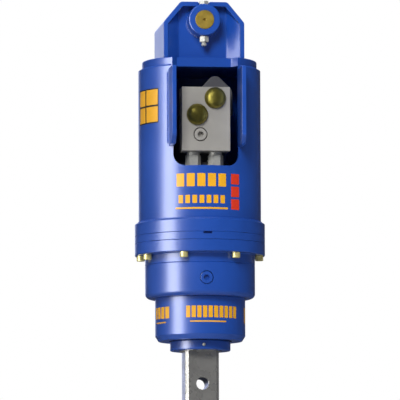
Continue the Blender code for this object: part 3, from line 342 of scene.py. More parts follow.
class DriveSizes(bpy.types.PropertyGroup):
    edge: length("Plate edge", "Radius of the edges of cut plates", 0.0009)
    casting_edge: length("Casting edge", "Radius of the corners of turned castings", 0.0022)
    seat_gap: length("Seat gap", "Gap between neighbouring pieces", 0.0003)
    groove: length("Groove", "Depth of the lines turned in the gearbox and the motor", 0.0012)
    weld: length("Weld", "Radius of the weld beads", 0.0035)
    weld_ripple: length("Weld ripple", "Distance between the rings of a weld bead", 0.0016)
    plug_socket: length("Plug socket", "Width of the plugs' hex sockets", 0.012)
    hood_wall: length("Hood wall", "Thickness of the hood's tube", 0.012)
    window_width: length("Window width", "Clear width of the hose window", 0.145)
    window_height: length("Window height", "Height of the window below the tube's top", 0.224)
    window_corner: length("Window corner", "Radius of the window's lower corners", 0.026)
    cheek_taper: length("Cheek taper", "Slant at each cheek's lower front corner", 0.018)
    cheek_corner: length("Cheek corner", "Radius of each cheek's lower corners", 0.012)
    notch_width: length("Notch width", "Width of the top plate's notch at its back", 0.121)
    notch_back: length("Notch depth", "Distance from the axis to the notch's back", 0.0875)
    notch_flare: length("Notch flare", "How far each slanted side of the notch leans out", 0.0125)
    foot_bore: length("Foot bore", "Radius of the bore in the hood's foot flange", 0.0623)
    arch_wall: length("Arch wall", "Thickness of the hanger's bent plate", 0.010)
    chamfer_run: length("Chamfer run", "Width of the arch's slanted shoulders", 0.038)
    chamfer_drop: length("Chamfer drop", "Height of the arch's slanted shoulders", 0.046)
    link_gap: length("Link gap", "Gap between the lug plates", 0.096)
    lug_wall: length("Lug wall", "Thickness of the bent lug plates", 0.014)
    lug_flat: length("Lug flat", "Width of the lug plates' flat middle", 0.106)
    dimple: length("Dimple", "Radius of the centre mark in the hitch pin's end", 0.0032)
    dimple_depth: length("Dimple depth", "Depth of the centre mark", 0.006)
    lock_room: length("Lock room", "Room in the arch's notch beside the lock bolt's head", 0.002)
    lock_pitch: length("Lock pitch", "Pitch of the lock bolt's thread", 0.00175)
    groove_height: length("Groove height", "Distance from the gearbox's foot to its turned line", 0.073)
    pry_width: length("Slot width", "Width of the prying slot in the gearbox's lid", 0.019)
    pry_height: length("Slot height", "Height of the prying slot in the gearbox's lid", 0.005)
    pry_depth: length("Slot depth", "Depth of the prying slot in the gearbox's lid", 0.008)
    gearbox_foot: length("Gearbox foot", "Radius of the gearbox's lower corner", 0.0105)
    gearbox_wall: length("Gearbox wall", "Thickness of the gearbox's side", 0.018)
    oil_plug_play: length("Oil plug play", "Gap round the oil plug", 0.0008)
    neck_foot: length("Neck foot", "Width of the slope at the bearing neck's foot", 0.007)
    neck_slope: length("Neck slope", "Height of the slope at the bearing neck's foot", 0.011)
    screw_head: length("Screw head", "Height of the flange screws' heads", 0.012)
    screw_socket: length("Screw socket", "Width of the flange screws' hex sockets", 0.010)
    shaft_square: length("Shaft square", "Width of the square shaft across its flats", 0.075)
    shaft_corner: length("Shaft corner", "Leg of the chamfers along the square shaft", 0.0065)
    shaft_hole: length("Shaft hole", "Radius of the shaft's cross hole", 0.0135)
    shaft_hole_height: length("Hole height", "Height of the cross hole above the shaft's end", 0.055)
    shaft_seat: length("Shaft seat", "Height of the shaft's shoulder above the oil seal", 0.0022)
    motor_flange: length("Motor flange", "Thickness of the motor's flange", 0.020)
    motor_body: length("Motor body", "Radius of the motor's wide lower body", 0.070)
    motor_step: length("Motor step", "Height of the wide body above the flange", 0.113)
    motor_line: length("Motor line", "Height of the motor's turned line above its step", 0.030)
    motor_bolt: length("Motor bolt", "Radius of the motor bolts' threads", 0.008)
    motor_bolt_head: length("Motor bolt head", "Height of the motor bolts' heads", 0.010)
    motor_pitch: length("Motor bolt pitch", "Pitch of the motor bolts' threads", 0.002)
    port_half: length("Port housing", "Half of the port housing's width", 0.050)
    port_height: length("Port height", "Height of the port housing", 0.045)
    lobe_drop: length("Lobe drop", "Distance from the valve casting's crown to its shoulders", 0.038)
    lobe_radius: length("Lobe radius", "Radius of the valve casting's corners", 0.016)
    plug_well: length("Plug well", "Depth of the counterbore round the manifold's plug", 0.010)
    block_plug_play: length("Manifold plug play", "Gap round the manifold's plug", 0.002)
    adaptor_collar: length("Adaptor collar", "Height of the collars of the port adaptors", 0.006)
    film: length("Film", "Thickness of the film marks", 0.0002)
    film_corner: length("Film corner", "Radius of the film marks' corners", 0.0012)


class DriveColours(bpy.types.PropertyGroup):
    enamel: colour("Enamel", "Blue gloss paint", "194AA6")
    zinc_yellow: colour("Yellow zinc", "Passivated screws", "E9DD94")
    zinc_gold: colour("Golden zinc", "Hitch pin", "A98F3C")
    zinc_clear: colour("Clear zinc", "Lock bolt, nut and adaptors", "B8B8B1")
    shaft_steel: colour("Shaft steel", "Square output shaft", "B0AEA8")
    casting: colour("Casting", "Dark grey motor", "505054")
    block: colour("Block", "Pale grey manifold", "A4A19B")
    cap: colour("Cap", "Olive port caps", "A89C4A")
    mark: colour("Mark", "Yellow film on the paint", "EFAE22")
    red_mark: colour("Red mark", "Red film on the paint", "E03A1E")
    dark_mark: colour("Dark mark", "Dark film under the yellow panels", "1A1A1C")


class StageSettings(bpy.types.PropertyGroup):
    azimuth: angular("Azimuth", "Camera's angle to the front", -7.01)
    elevation: angular("Elevation", "Camera's height angle", -5.83)
    roll: angular("Roll", "Camera's lean to its side", -0.216)
    distance: length("Distance", "From the camera to the drive's axis", 12.0)
    view_side: length("View side", "How far right of the axis the picture's middle lies", 0.0006)
    view_height: length("View height", "Height on the axis at the picture's middle", 0.4663)
    view_width: length("View width", "Width of what the camera sees at the axis", 0.8896)
    floor_drop: length("Floor drop", "How far the floor lies below the shaft's end", 0.9)
    band_power: power("Band power", "Power of the tall left softbox", 76.0)
    spot_power: power("Spot power", "Power of the upper left softbox", 14.0)
    front_power: power("Front power", "Power of the wide front light", 145.0)
    back_power: power("Back power", "Power of the wide back light", 100.0)
    top_power: power("Top power", "Power of the light overhead", 60.0)


def sizes():
    return bpy.context.scene.drive_sizes


def colours():
    return bpy.context.scene.drive_colours


# Materials

BLACKEST = (0.008, 0.008, 0.008)
# Near-black base colour painted inside the shaft's cross hole: painted shade.
PAINTED_HOLE_SHADE = (0.02, 0.02, 0.02)
# Share by which the shaft's chamfers are painted lighter: a painted highlight.
CHAMFER_HIGHLIGHT_SHARE = 1.1
NOISE_LOW, NOISE_HIGH = 0.3, 0.7


def add_node(tree, kind, inputs=None, **settings):
    """Add a node, set its options, and fill or link its inputs."""
    node = tree.nodes.new(kind)
    for key, value in settings.items():
        setattr(node, key, value)
    for socket, value in (inputs or {}).items():
        if isinstance(value, bpy.types.NodeSocket):
            tree.links.new(value, node.inputs[socket])
        else:
            node.inputs[socket].default_value = value
    return node


def from_node(tree, kind, inputs=None, output=0, **settings):
    """Add a node and take what one of its outputs gives."""
    return add_node(tree, kind, inputs, **settings).outputs[output]


def add_math(tree, operation, first, second=0.0):
    return from_node(tree, "ShaderNodeMath", {0: first, 1: second}, operation=operation)


def add_range(tree, value, start, end, low=0.0, high=1.0, **settings):
    """Map a value of start .. end to low .. high."""
    inputs = {"Value": value, "From Min": start, "From Max": end, "To Min": low, "To Max": high}
    return from_node(tree, "ShaderNodeMapRange", inputs, **settings)


def add_mix(tree, share, first, second):
    """Mix two colours, each a colour or a socket that gives one."""
    ends = [end if isinstance(end, bpy.types.NodeSocket) else (*end, 1) for end in (first, second)]
    return from_node(tree, "ShaderNodeMix", {0: share, 6: ends[0], 7: ends[1]}, output=2, data_type="RGBA")


def noise(tree, place, size, detail=2.0, stretch=(1, 1, 1)):
    """Noise whose patches are about a size across, longer along an axis whose stretch is above 1."""
    scale = tuple(1 / (size * share) for share in stretch)
    mapped = from_node(tree, "ShaderNodeMapping", {"Vector": place, "Scale": scale})
    return from_node(tree, "ShaderNodeTexNoise", {"Vector": mapped, "Scale": 1.0, "Detail": detail})


def scaled(shade, share):
    return tuple(min(1.0, value * share) for value in shade)


def coated(name, shades, metallic, roughness, patch, detail=2.0, coat=0.0, coat_roughness=0.06, **bumps):
    """A material that drifts between two shades and two roughnesses in patches, over a bumped grain."""
    material = bpy.data.materials.new(name)
    material.use_nodes = True
    tree = material.node_tree
    shader = tree.nodes["Principled BSDF"]
    place = from_node(tree, "ShaderNodeTexCoord", output="Object")
    drift = noise(tree, place, patch, detail)
    shade = add_mix(tree, add_range(tree, drift, NOISE_LOW, NOISE_HIGH), *shades)
    tree.links.new(shade, shader.inputs["Base Color"])
    gloss = add_range(tree, drift, NOISE_LOW, NOISE_HIGH, *roughness)
    tree.links.new(gloss, shader.inputs["Roughness"])
    values = {"Metallic": metallic, "Coat Weight": coat, "Coat Roughness": coat_roughness}
    for socket, value in values.items():
        shader.inputs[socket].default_value = value
    if bumps:
        add_grain(tree, shader, place, **bumps)
    return material


def add_grain(tree, shader, place, grain, depth, grain_detail=2.0, stretch=(1, 1, 1), strength=1.0):
    height = noise(tree, place, grain, grain_detail, stretch)
    bump = from_node(tree, "ShaderNodeBump", {"Height": height, "Distance": depth, "Strength": strength})
    tree.links.new(bump, shader.inputs["Normal"])


def between(shade, low, high):
    return scaled(shade, low), scaled(shade, high)


def blue_enamel():
    """Thick gloss enamel, sprayed: a faint orange peel 3 mm across, and slow drifts of shade and gloss."""
    return coated(
        "blue_enamel", between(colours().enamel, 0.93, 1.07), metallic=0.0, roughness=(0.33, 0.4),
        patch=0.09, grain=0.003, depth=0.00002, strength=0.5, coat=0.9, coat_roughness=0.28,
    )


def yellow_zinc():
    """Yellow passivated zinc: pale gold with cloudy greenish and straw patches, lightly turned."""
    return coated(
        "yellow_zinc", between(colours().zinc_yellow, 0.85, 1.08), metallic=0.45, roughness=(0.28, 0.42),
        patch=0.006, detail=3.0, grain=0.0006, depth=0.00002, stretch=(1, 1, 0.2),
    )


def golden_zinc():
    """Older golden plate on the pin: duller, with brown clouds and fine scratches."""
    return coated(
        "golden_zinc", between(colours().zinc_gold, 0.75, 1.1), metallic=0.35, roughness=(0.36, 0.5),
        patch=0.012, detail=4.0, grain=0.0008, depth=0.00002, stretch=(6, 1, 1),
    )


def clear_zinc():
    """Clear zinc plate: silvery and soft, with a fine grain."""
    return coated(
        "clear_zinc", between(colours().zinc_clear, 0.88, 1.05), metallic=0.3, roughness=(0.5, 0.62),
        patch=0.004, detail=3.0, grain=0.0007, depth=0.000015,
    )


def milled_steel(name="gear_steel", share=1.1, roughness=(0.25, 0.37)):
    """Bright milled bar: cutter lines across its length 0.4 mm apart, and slow changes of gloss."""
    base = scaled(colours().shaft_steel, share)
    return coated(
        name, between(base, 0.9, 1.06), metallic=0.7, roughness=roughness,
        patch=0.03, grain=0.0004, depth=0.00001, stretch=(40, 40, 1),
    )


def square_bar():
    """The milled steel of the square shaft, its chamfers ground brighter and its cross hole drilled dark."""
    s = sizes()
    material = milled_steel("shaft_steel", 1.0, (0.22, 0.34))
    tree = material.node_tree
    base = tree.nodes["Principled BSDF"].inputs["Base Color"]
    place = from_node(tree, "ShaderNodeTexCoord", output="Object")
    split = add_node(tree, "ShaderNodeSeparateXYZ", {"Vector": place}).outputs
    reach = add_math(tree, "ADD", *(add_math(tree, "ABSOLUTE", split[axis]) for axis in "XY"))
    line = s.shaft_square - s.shaft_corner
    # Painted highlight: a lighter base colour along the chamfers stands in for the light they catch.
    chamfer_highlight_mask = add_range(tree, reach, line - s.edge, line - s.edge / 2)
    # Painted shade: a near-black base colour inside the cross hole stands in for the shade in it.
    flat = from_node(tree, "ShaderNodeVectorMath", {0: place, 1: (1, 0, 1)}, operation="MULTIPLY")
    ends = {0: flat, 1: (0, 0, s.shaft_hole_height)}
    away = from_node(tree, "ShaderNodeVectorMath", ends, output="Value", operation="DISTANCE")
    clear = add_range(tree, away, s.shaft_hole + s.edge / 4, s.shaft_hole + s.edge / 2)
    highlighted_steel = add_mix(tree, chamfer_highlight_mask, base.links[0].from_socket, scaled(colours().shaft_steel, CHAMFER_HIGHLIGHT_SHARE))
    tree.links.new(add_mix(tree, clear, PAINTED_HOLE_SHADE, highlighted_steel), base)
    return material


def grey_casting():
    """Painted iron casting: a sand texture 1.5 mm across under a satin dark grey paint."""
    return coated(
        "grey_casting", between(colours().casting, 0.9, 1.1), metallic=0.0, roughness=(0.42, 0.6),
        patch=0.0015, detail=4.0, grain=0.0015, grain_detail=4.0, depth=0.00025, strength=0.6,
    )


def milled_block():
    """Sawn and face-milled pale steel: satin, with faint lines across the face."""
    return coated(
        "milled_block", between(colours().block, 0.95, 1.04), metallic=0.25, roughness=(0.45, 0.58),
        patch=0.04, grain=0.0005, depth=0.00001, stretch=(60, 60, 1),
    )


def olive_cap():
    """Olive passivated cap: satin metal, darker towards brown in clouds 8 mm across."""
    return coated(
        "olive_cap", between(colours().cap, 0.9, 1.08), metallic=0.95, roughness=(0.38, 0.48),
        patch=0.008, detail=3.0, grain=0.0009, depth=0.000015,
    )


def seal_rubber():
    """Black nitrile lip: matt, with a fine moulded grain."""
    return coated(
        "seal_rubber", between(BLACKEST, 1.0, 2.0), metallic=0.0, roughness=(0.7, 0.7),
        patch=0.0008, detail=3.0, grain=0.0008, grain_detail=3.0, depth=0.00003,
    )


def printed_film(name, base):
    """Printed film on the paint: a flat colour with a soft gloss and a slightly uneven lay."""
    return coated(
        name, between(base, 0.94, 1.03), metallic=0.0, roughness=(0.4, 0.4),
        patch=0.02, grain=0.002, depth=0.00001, coat=0.3,
    )


MAKERS = {
    "blue_paint": blue_enamel,
    "yellow_zinc": yellow_zinc,
    "pin_zinc": golden_zinc,
    "clear_zinc": clear_zinc,
    "shaft_steel": square_bar,
    "gear_steel": milled_steel,
    "cast_grey": grey_casting,
    "block_grey": milled_block,
    "olive_cap": olive_cap,
    "seal_rubber": seal_rubber,
    "yellow_film": lambda: printed_film("yellow_film", colours().mark),
    "red_film": lambda: printed_film("red_film", colours().red_mark),
    "dark_film": lambda: printed_film("dark_film", colours().dark_mark),
}
made_materials = {}


def material_for(slot):
    """Each slot's material, made when it is first asked for."""
    if slot not in made_materials:
        made_materials[slot] = MAKERS[slot]()
    return made_materials[slot]


def give_material(item, slot):
    item.data.materials.clear()
    item.data.materials.append(material_for(slot))


# The hood


def window_cutter(outer, top):
    s = sizes()
    half = s.window_width / 2
    corner = s.window_corner
    bottom, above = top - s.window_height, top + corner
    outline = [(-half, bottom), (half, bottom), (half, above), (-half, above)]
    cutter = extruded("window", [rounded(outline, [corner, corner, 0, 0], steps=10)], outer)
    return face_front(cutter, -outer - corner)


def make_hood_tube():
    s = sizes()
    low, high = corners("hood_tube")
    outer = radius_of("hood_tube")
    profile = ring_profile(outer, outer - s.hood_wall, low.z, high.z)
    tube = turned("hood_shell", profile, s.edge, arc_steps=3)
    painted(combine(tube, window_cutter(outer, high.z)), "hood_tube")


def make_cheek(name, node):
    s = sizes()
    low, high = corners(node)
    front = -low.y
    back = -high.y - s.edge
    taper = s.cheek_taper
    outline = [(back, low.z), (front - taper, low.z), (front, low.z + taper), (front, high.z), (back, high.z)]
    corner = s.cheek_corner
    cheek = extruded(name, [rounded(outline, [0, corner, corner, s.edge * 2, 0], steps=6)], high.x - low.x)
    bevelled(cheek, s.edge)
    move(cheek, Matrix(((0, 0, 1, low.x), (-1, 0, 0, 0), (0, 1, 0, 0), (0, 0, 0, 1))))
    outer = radius_of("hood_tube") + s.seat_gap
    trim = turned("trim", disc_profile(outer, low.z - s.hood_wall, high.z + s.hood_wall))
    painted(combine(cheek, trim), node)


def make_top_plate():
    s = sizes()
    low, high = corners("hood_top_plate")
    outer = radius_of("hood_top_plate")
    wall = high.z - low.z
    plate = turned("hood_lid", disc_profile(outer, low.z, high.z), [0, wall / 8, s.edge, 0])
    half = s.notch_width / 2
    rim = math.sqrt(outer**2 - (half + s.notch_flare) ** 2)
    slope = s.notch_flare / (rim - s.notch_back)
    front = outer + s.hood_wall
    wide = half + slope * (front - s.notch_back)
    outline = [(-half, -s.notch_back), (-wide, -front), (wide, -front), (half, -s.notch_back)]
    notch = extruded("notch", [rounded(outline, [s.edge * 3, 0, 0, s.edge * 3])], 2 * wall)
    painted(combine(plate, shift(notch, z=low.z - wall / 2)), "hood_top_plate")


def make_base_flange():
    s = sizes()
    low, high = corners("hood_base_flange")
    profile = ring_profile(radius_of("hood_base_flange"), s.foot_bore, low.z, high.z)
    painted(turned("hood_foot", profile, [s.casting_edge, s.edge, 0, 0]), "hood_base_flange")


# Weld beads

RIPPLE_SHARES = (1.16, 0.96, 0.96)
BOSS_WELD_SHARE = 0.8
LUG_WELD_SHARE = 0.9
LID_WELD_GAP = 2  # degrees beside the notch


def weld_bead(name, points, closed=False, share=1.0):
    """A rippled bead of weld along some points, painted over."""
    curve = bpy.data.curves.new(name, "CURVE")
    curve.dimensions = "3D"
    curve.bevel_depth = sizes().weld * share
    curve.bevel_resolution = 2
    curve.use_fill_caps = True
    for index, point in enumerate(add_spline(curve, points, closed).points):
        point.radius = RIPPLE_SHARES[index % len(RIPPLE_SHARES)]
    guide = add_object(name, curve)
    bead = add_object(name, evaluated_mesh(guide))
    bpy.data.objects.remove(guide, do_unlink=True)
    painted(bead)


def line_points(start, end):
    start, end = Vector(start), Vector(end)
    count = max(2, round((end - start).length / sizes().weld_ripple))
    return [start.lerp(end, index / count) for index in range(count + 1)]


def arc_points(radius, height, clear=0.0):
    """Points all round Z, or round it but for some degrees to each side of the front."""
    sweep = 360 - 2 * clear
    count = round(math.radians(sweep) * radius / sizes().weld_ripple)
    steps = range(count + 1 if clear else count)
    return [polar(radius, clear + sweep * index / count, height) for index in steps]


def make_hood_welds():
    s = sizes()
    low, high = corners("hood_tube")
    outer = radius_of("hood_tube")
    lid = radius_of("hood_top_plate")
    clear = math.degrees(math.asin((s.notch_width / 2 + s.notch_flare) / lid)) + LID_WELD_GAP
    weld_bead("foot_weld", arc_points(outer, low.z), True)
    weld_bead("lid_weld", arc_points(lid, high.z, clear))
    low, high = corners("right_window_cheek")
    y = -math.sqrt(outer**2 - high.x**2)
    for side in (-1, 1):
        ends = [(side * high.x, y, z) for z in (low.z + s.weld * 2, high.z - s.weld * 2)]
        weld_bead(f"cheek_weld_{side + 2}", line_points(*ends))


def make_hanger_welds():
    s = sizes()
    low, high = corners("front_lug_plate")
    radius = radius_of("front_pin_boss")
    half = s.lug_flat / 2
    count = round(math.tau * radius / s.weld_ripple)
    for side in (-1, 1):
        y = side * (s.link_gap / 2 + s.lug_wall)
        ring = [(x, y, z) for x, z in circle(radius, count, (0, pin_height())) if z < high.z - s.weld]
        weld_bead(f"boss_weld_{side + 2}", ring, share=BOSS_WELD_SHARE)
        foot = line_points((-half, y, low.z), (half, y, low.z))
        weld_bead(f"lug_weld_{side + 2}", foot, share=LUG_WELD_SHARE)


# The hanger

BOSS_EDGE_SHARE = 1.6
LUG_BEND_SHARE = 1.2
HEX_FLAT_SHARE = 0.97
HEX_CORNER_SHARE = 1.02
HEX_CHAMFER = math.radians(30)
HEX_TURN = math.radians(30)
THREAD_SHARE = 0.63
THREAD_ROOT_SHARE = 0.9
THREAD_TIP_SHARE = 0.75
THREAD_RUN_SHARE = 0.45
THREAD_STEPS = 32


def arch_outline(inset):
    """The arch's outline moved inwards by the inset, from its left foot to its right foot."""
    s = sizes()
    low, high = corners("hanger_arch")
    half = high.x
    slant = math.atan2(s.chamfer_drop, s.chamfer_run)
    crown = half - s.chamfer_run - inset * math.tan(slant / 2)
    shoulder = high.z - s.chamfer_drop - inset * math.tan((math.pi / 2 - slant) / 2)
    right = [(crown, high.z - inset), (half - inset, shoulder), (half - inset, low.z)]
    return [(-x, z) for x, z in reversed(right)] + right


def pin_height():
    return middle("hitch_pin").z


def boss_rod(extra):
    """A rod along the hitch pin, as wide as its bosses and a little more."""
    ends = [(0, corner.y * OVERRUN_SHARE, pin_height()) for corner in corners("hitch_pin")]
    return rod("boss", radius_of("front_pin_boss") + extra, *ends, ROUND_STEPS)


def make_arch():
    s = sizes()
    low, high = corners("hanger_arch")
    bend = s.arch_wall
    outer = rounded(arch_outline(0), [0, bend, bend, bend, bend, 0], steps=6)
    inner = rounded(arch_outline(bend), [0, bend / 3, bend / 3, bend / 3, bend / 3, 0])
    arch = extruded("hanger_bow", [outer + inner[::-1]], high.y - low.y)
    bevelled(face_front(arch, low.y), s.edge, angle=50)
    combine(arch, boss_rod(s.seat_gap))
    reach = s.link_gap / 2
    above = high.z + s.arch_wall
    combine(arch, box("slot", (-reach, -reach, high.z - s.chamfer_run), (reach, reach, above)))
    head = corners("pin_bolt")[1]
    side = head.x + s.lock_room
    back = middle("pin_bolt").y + side
    notch = box("notch", (-side, low.y * OVERRUN_SHARE, head.z - s.chamfer_run), (side, back, above))
    painted(combine(arch, notch), "hanger_arch")


def make_lug(name, node, side):
    """Make a lug plate whose two wings lean away from the link."""
    s = sizes()
    low, high = corners(node)
    inner_y = s.link_gap / 2
    flat = inner_y + s.lug_wall
    wing_y = max(abs(low.y), abs(high.y))
    half = s.lug_flat / 2
    slope = (wing_y - flat) / (high.x - half)
    wing_back = wing_y - s.lug_wall * math.sqrt(1 + slope**2)
    bend_x = high.x - (wing_back - inner_y) / slope
    right = [(half, flat), (high.x, wing_y), (high.x, wing_back), (bend_x, inner_y)]
    outline = [(x, side * y) for x, y in right + [(-x, y) for x, y in reversed(right)]]
    front_bend, back_bend = s.lug_wall / 2, s.lug_wall * LUG_BEND_SHARE
    bends = [front_bend, 0, 0, back_bend, back_bend, 0, 0, front_bend]
    lug = shift(extruded(name, [rounded(outline, bends, steps=6)], high.z - low.z), z=low.z)
    inner = rounded(arch_outline(s.arch_wall + s.seat_gap), [0, s.edge, s.edge, s.edge, s.edge, 0])
    keeper = extruded("keeper", [inner], 4 * wing_y)
    combine(lug, face_front(keeper, -2 * wing_y), "INTERSECT")
    painted(combine(lug, boss_rod(s.seat_gap)), node)


def make_boss(name, node, side):
    s = sizes()
    near, far = sorted(abs(corner.y) for corner in corners(node))
    profile = ring_profile(radius_of(node), radius_of("hitch_pin") + s.seat_gap, near, far)
    boss = turned(name, profile, [s.casting_edge * BOSS_EDGE_SHARE, s.edge, s.edge, s.edge])
    painted(shift(turn_back(boss, -side), z=pin_height()), node)


def make_hitch_pin():
    s = sizes()
    low, high = corners("hitch_pin")
    radius = radius_of("hitch_pin")
    bottom = low.y + s.dimple_depth
    front = [(radius, low.y), (s.dimple, low.y), (s.dimple / 3, bottom), (0, bottom)]
    profile = [(0, high.y), (radius, high.y), *front]
    pin = turned("hitch_bar", profile, [0, s.edge, s.edge, s.edge / 2, 0, 0])
    finish_piece(shift(turn_back(pin, -1), z=pin_height()), "pin_zinc", "hitch_pin")


def hexagon(across):
    return circle(across / math.sqrt(3), 6)


def hex_head(name, across, bottom, top, both_ends=False, turn=0.0):
    """A hexagon along Z whose corners are turned off by a cone, at its top or at both ends."""
    head = shift(extruded(name, [hexagon(across)], top - bottom), z=bottom)
    move(head, Matrix.Rotation(turn, 4, "Z"))
    flat = across / 2 * HEX_FLAT_SHARE
    full = across / math.sqrt(3) * HEX_CORNER_SHARE
    drop = (full - flat) * math.tan(HEX_CHAMFER)
    foot = [(full, bottom + drop), (flat, bottom)] if both_ends else [(full, bottom)]
    outline = [(0, top), (flat, top), (full, top - drop), *foot, (0, bottom)]
    return combine(head, turned("cone", outline, steps=SMALL_ROUND_STEPS), "INTERSECT")


def threaded(name, radius, bottom, top, pitch):
    """A rod with round thread ridges over its whole length and a chamfered end."""
    root = radius * THREAD_ROOT_SHARE
    profile = [(0, top), (root, top)]
    for index in range(int((top - bottom) / pitch)):
        height = top - pitch * (index + 0.5)
        profile += [(root, height + pitch * THREAD_RUN_SHARE), (radius, height)]
    profile += [(root, bottom + pitch / 4), (radius * THREAD_TIP_SHARE, bottom), (0, bottom)]
    return turned(name, profile, steps=THREAD_STEPS)


def make_lock_bolt():
    s = sizes()
    low, high = corners("pin_bolt")
    across = high.y - low.y
    radius = across / 2 * THREAD_SHARE
    place = middle("pin_bolt").y
    seat = pin_height() + radius_of("front_pin_boss") + s.seat_gap
    head = hex_head("lock_bolt", across, seat, high.z, turn=HEX_TURN)
    combine(head, threaded("thread", radius, low.z, seat + (high.z - seat) / 2, s.lock_pitch), "UNION")
    finish_piece(shift(head, y=place), "clear_zinc", "pin_bolt")
    low, high = corners("pin_nut")
    nut = hex_head("lock_nut", across, low.z, high.z, True, HEX_TURN)
    combine(nut, rod("bore", radius + s.seat_gap, (0, 0, low.z - radius), (0, 0, high.z + radius)))
    finish_piece(shift(nut, y=place), "clear_zinc", "pin_nut")


# The gearbox and the output end

NECK_BORE_SHARE = 0.92
NECK_SPIGOT_SHARE = 0.917
JOURNAL_SHARE = 0.947
SPLINE_SHARE = 0.842
SOCKET_DEPTH_SHARE = 0.8
PLUG_EDGE_SHARE = 1.5
LEAD_SHARE = 1.2
NIPPLE_STEPS = 24
NIPPLE_SHARES = [
    (0, 1), (0.35, 0.99), (0.62, 0.93), (0.7, 0.85), (0.55, 0.76), (0.5, 0.68), (1, 0.62), (1, 0), (0, 0)
]


def cross_hole(node, play):
    """A rod for the hole of a round piece that points to the front."""
    low, high = corners(node)
    place = middle(node)
    return rod("hole", radius_of(node) + play, (0, high.y, place.z), (0, low.y * OVERRUN_SHARE, place.z))


def make_gearbox():
    s = sizes()
    low, high = corners("gearbox_housing")
    flange = radius_of("gearbox_housing")
    flange_bottom = screw_seat() + s.seat_gap
    body = s.edge - corners("gearbox_oil_plug")[0].y
    groove = low.z + s.groove_height
    bore = body - s.gearbox_wall
    floor = low.z + bore / 10
    neck = radius_of("bearing_housing") * NECK_BORE_SHARE + s.seat_gap
    profile = [
        (flange, high.z), (flange, flange_bottom), (body, flange_bottom),
        (body, groove + s.groove), (body - s.groove, groove), (body, groove - s.groove),
        (body, low.z), (neck, low.z), (neck, floor), (bore, floor), (bore, high.z),
    ]
    edge = s.casting_edge
    radii = [edge / 2, edge, edge, 0, 0, 0, s.gearbox_foot, s.edge, 0, 0, s.edge]
    casing = turned("gearbox_shell", profile, radii, arc_steps=6)
    painted(combine(casing, cross_hole("gearbox_oil_plug", s.edge / 2)), "gearbox_housing")


def screw_seat():
    """Height of the flange screws' seats under the gearbox's flange."""
    return corners("flange_bolt_1")[0].z + sizes().screw_head


def make_plug(name, node, slot, play, sunk=0.0):
    """A round plug that faces the front, with a hex socket and play round it. It may be sunk in a well."""
    s = sizes()
    low, high = corners(node)
    depth = high.y + sunk - low.y
    profile = disc_profile(radius_of(node) - play, 0, depth)
    plug = turned(name, profile, [0, min(s.edge * PLUG_EDGE_SHARE, depth / 3), 0, 0], SMALL_ROUND_STEPS)
    sink = min(depth * SOCKET_DEPTH_SHARE, s.plug_socket)
    combine(plug, shift(extruded("socket", [hexagon(s.plug_socket)], depth), z=depth - sink))
    finish_piece(stand_at(plug, node), slot, node)


def make_oil_plug():
    make_plug("oil_plug", "gearbox_oil_plug", "blue_paint", sizes().oil_plug_play)


def make_input_cover():
    s = sizes()
    low, high = corners("input_cover")
    outer = radius_of("input_cover")
    profile = ring_profile(outer, radius_of("first_sun"), low.z, high.z)
    lid = turned("gearbox_lid", profile, [s.edge, s.edge, 0, 0])
    half, height, depth = s.pry_width / 2, s.pry_height, s.pry_depth
    slot = box("slot", (-half, -outer - depth, high.z - height), (half, -outer + depth, high.z + height))
    painted(combine(lid, slot), "input_cover")


def make_neck():
    s = sizes()
    low, high = corners("bearing_housing")
    outer = radius_of("bearing_housing")
    spigot = outer * NECK_SPIGOT_SHARE
    bore = radius_of("oil_seal") + s.seat_gap
    top = corners("gearbox_housing")[0].z - s.seat_gap
    profile = [
        (spigot, high.z), (spigot, top), (outer, top), (outer, low.z + s.neck_slope),
        (outer - s.neck_foot, low.z), (bore, low.z), (bore, high.z),
    ]
    radii = [s.edge, 0, s.edge, s.edge * 2, s.edge, s.edge, s.edge]
    painted(turned("neck_shell", profile, radii), "bearing_housing")


def make_seal_cover():
    s = sizes()
    low, high = corners("seal_cover")
    bore = radius_of("output_shaft") + s.seat_gap * 2
    profile = ring_profile(radius_of("seal_cover"), bore, low.z, high.z)
    cover = turned("seal_ring", profile, [s.casting_edge, s.casting_edge, s.edge, 0])
    painted(combine(cover, cross_hole("grease_nipple", s.seat_gap)), "seal_cover")


def make_grease_nipple():
    """A nipple with a hex foot, a waist and a ball end."""
    low, high = corners("grease_nipple")
    radius, reach = radius_of("grease_nipple"), high.y - low.y
    nipple = turned("nipple", [(radius * r, reach * z) for r, z in NIPPLE_SHARES], steps=NIPPLE_STEPS)
    finish_piece(stand_at(nipple, "grease_nipple"), "clear_zinc", "grease_nipple")


def make_output_shaft():
    s = sizes()
    low, high = corners("output_shaft")
    shoulder = radius_of("output_shaft")
    journal, spline = shoulder * JOURNAL_SHARE, shoulder * SPLINE_SHARE
    flat_top = corners("seal_cover")[0].z - s.edge
    seat = corners("oil_seal")[1].z + s.shaft_seat
    nut_top = corners("shaft_lock_nut")[1].z
    half = s.shaft_square / 2
    square = [(half, -half), (half, half), (-half, half), (-half, -half)]
    bar = extruded("drive_shaft", [rounded(square, s.shaft_corner, steps=1)], flat_top - low.z + s.edge / 2)
    bevelled(bar, s.edge / 2, segments=2, angle=30)
    profile = [
        (0, high.z), (spline, high.z), (spline, nut_top), (journal, nut_top),
        (journal, seat), (shoulder, seat), (shoulder, flat_top), (0, flat_top),
    ]
    round_end = turned("round_end", profile, [0, s.edge, 0, s.edge, 0, s.edge, s.edge, 0])
    combine(bar, round_end, "UNION")
    hole, lead = s.shaft_hole, s.edge * LEAD_SHARE
    side = [(0, half + lead), (hole + lead * 2, half + lead), (hole, half - lead)]
    spool = turned("hole", side + [(radius, -along) for radius, along in reversed(side)])
    combine(bar, shift(turn_back(spool, 1), z=s.shaft_hole_height))
    finish_piece(bar, "shaft_steel", "output_shaft", body=SHAFT)


# The flange screws

SHANK_SHARE = 0.62
SHANK_TOP_SHARE = 0.24
HEAD_STEPS = 48
SHANK_STEPS = 24


def screw_nodes():
    return sorted(name for name in frame["nodes"] if name.startswith("flange_bolt_"))


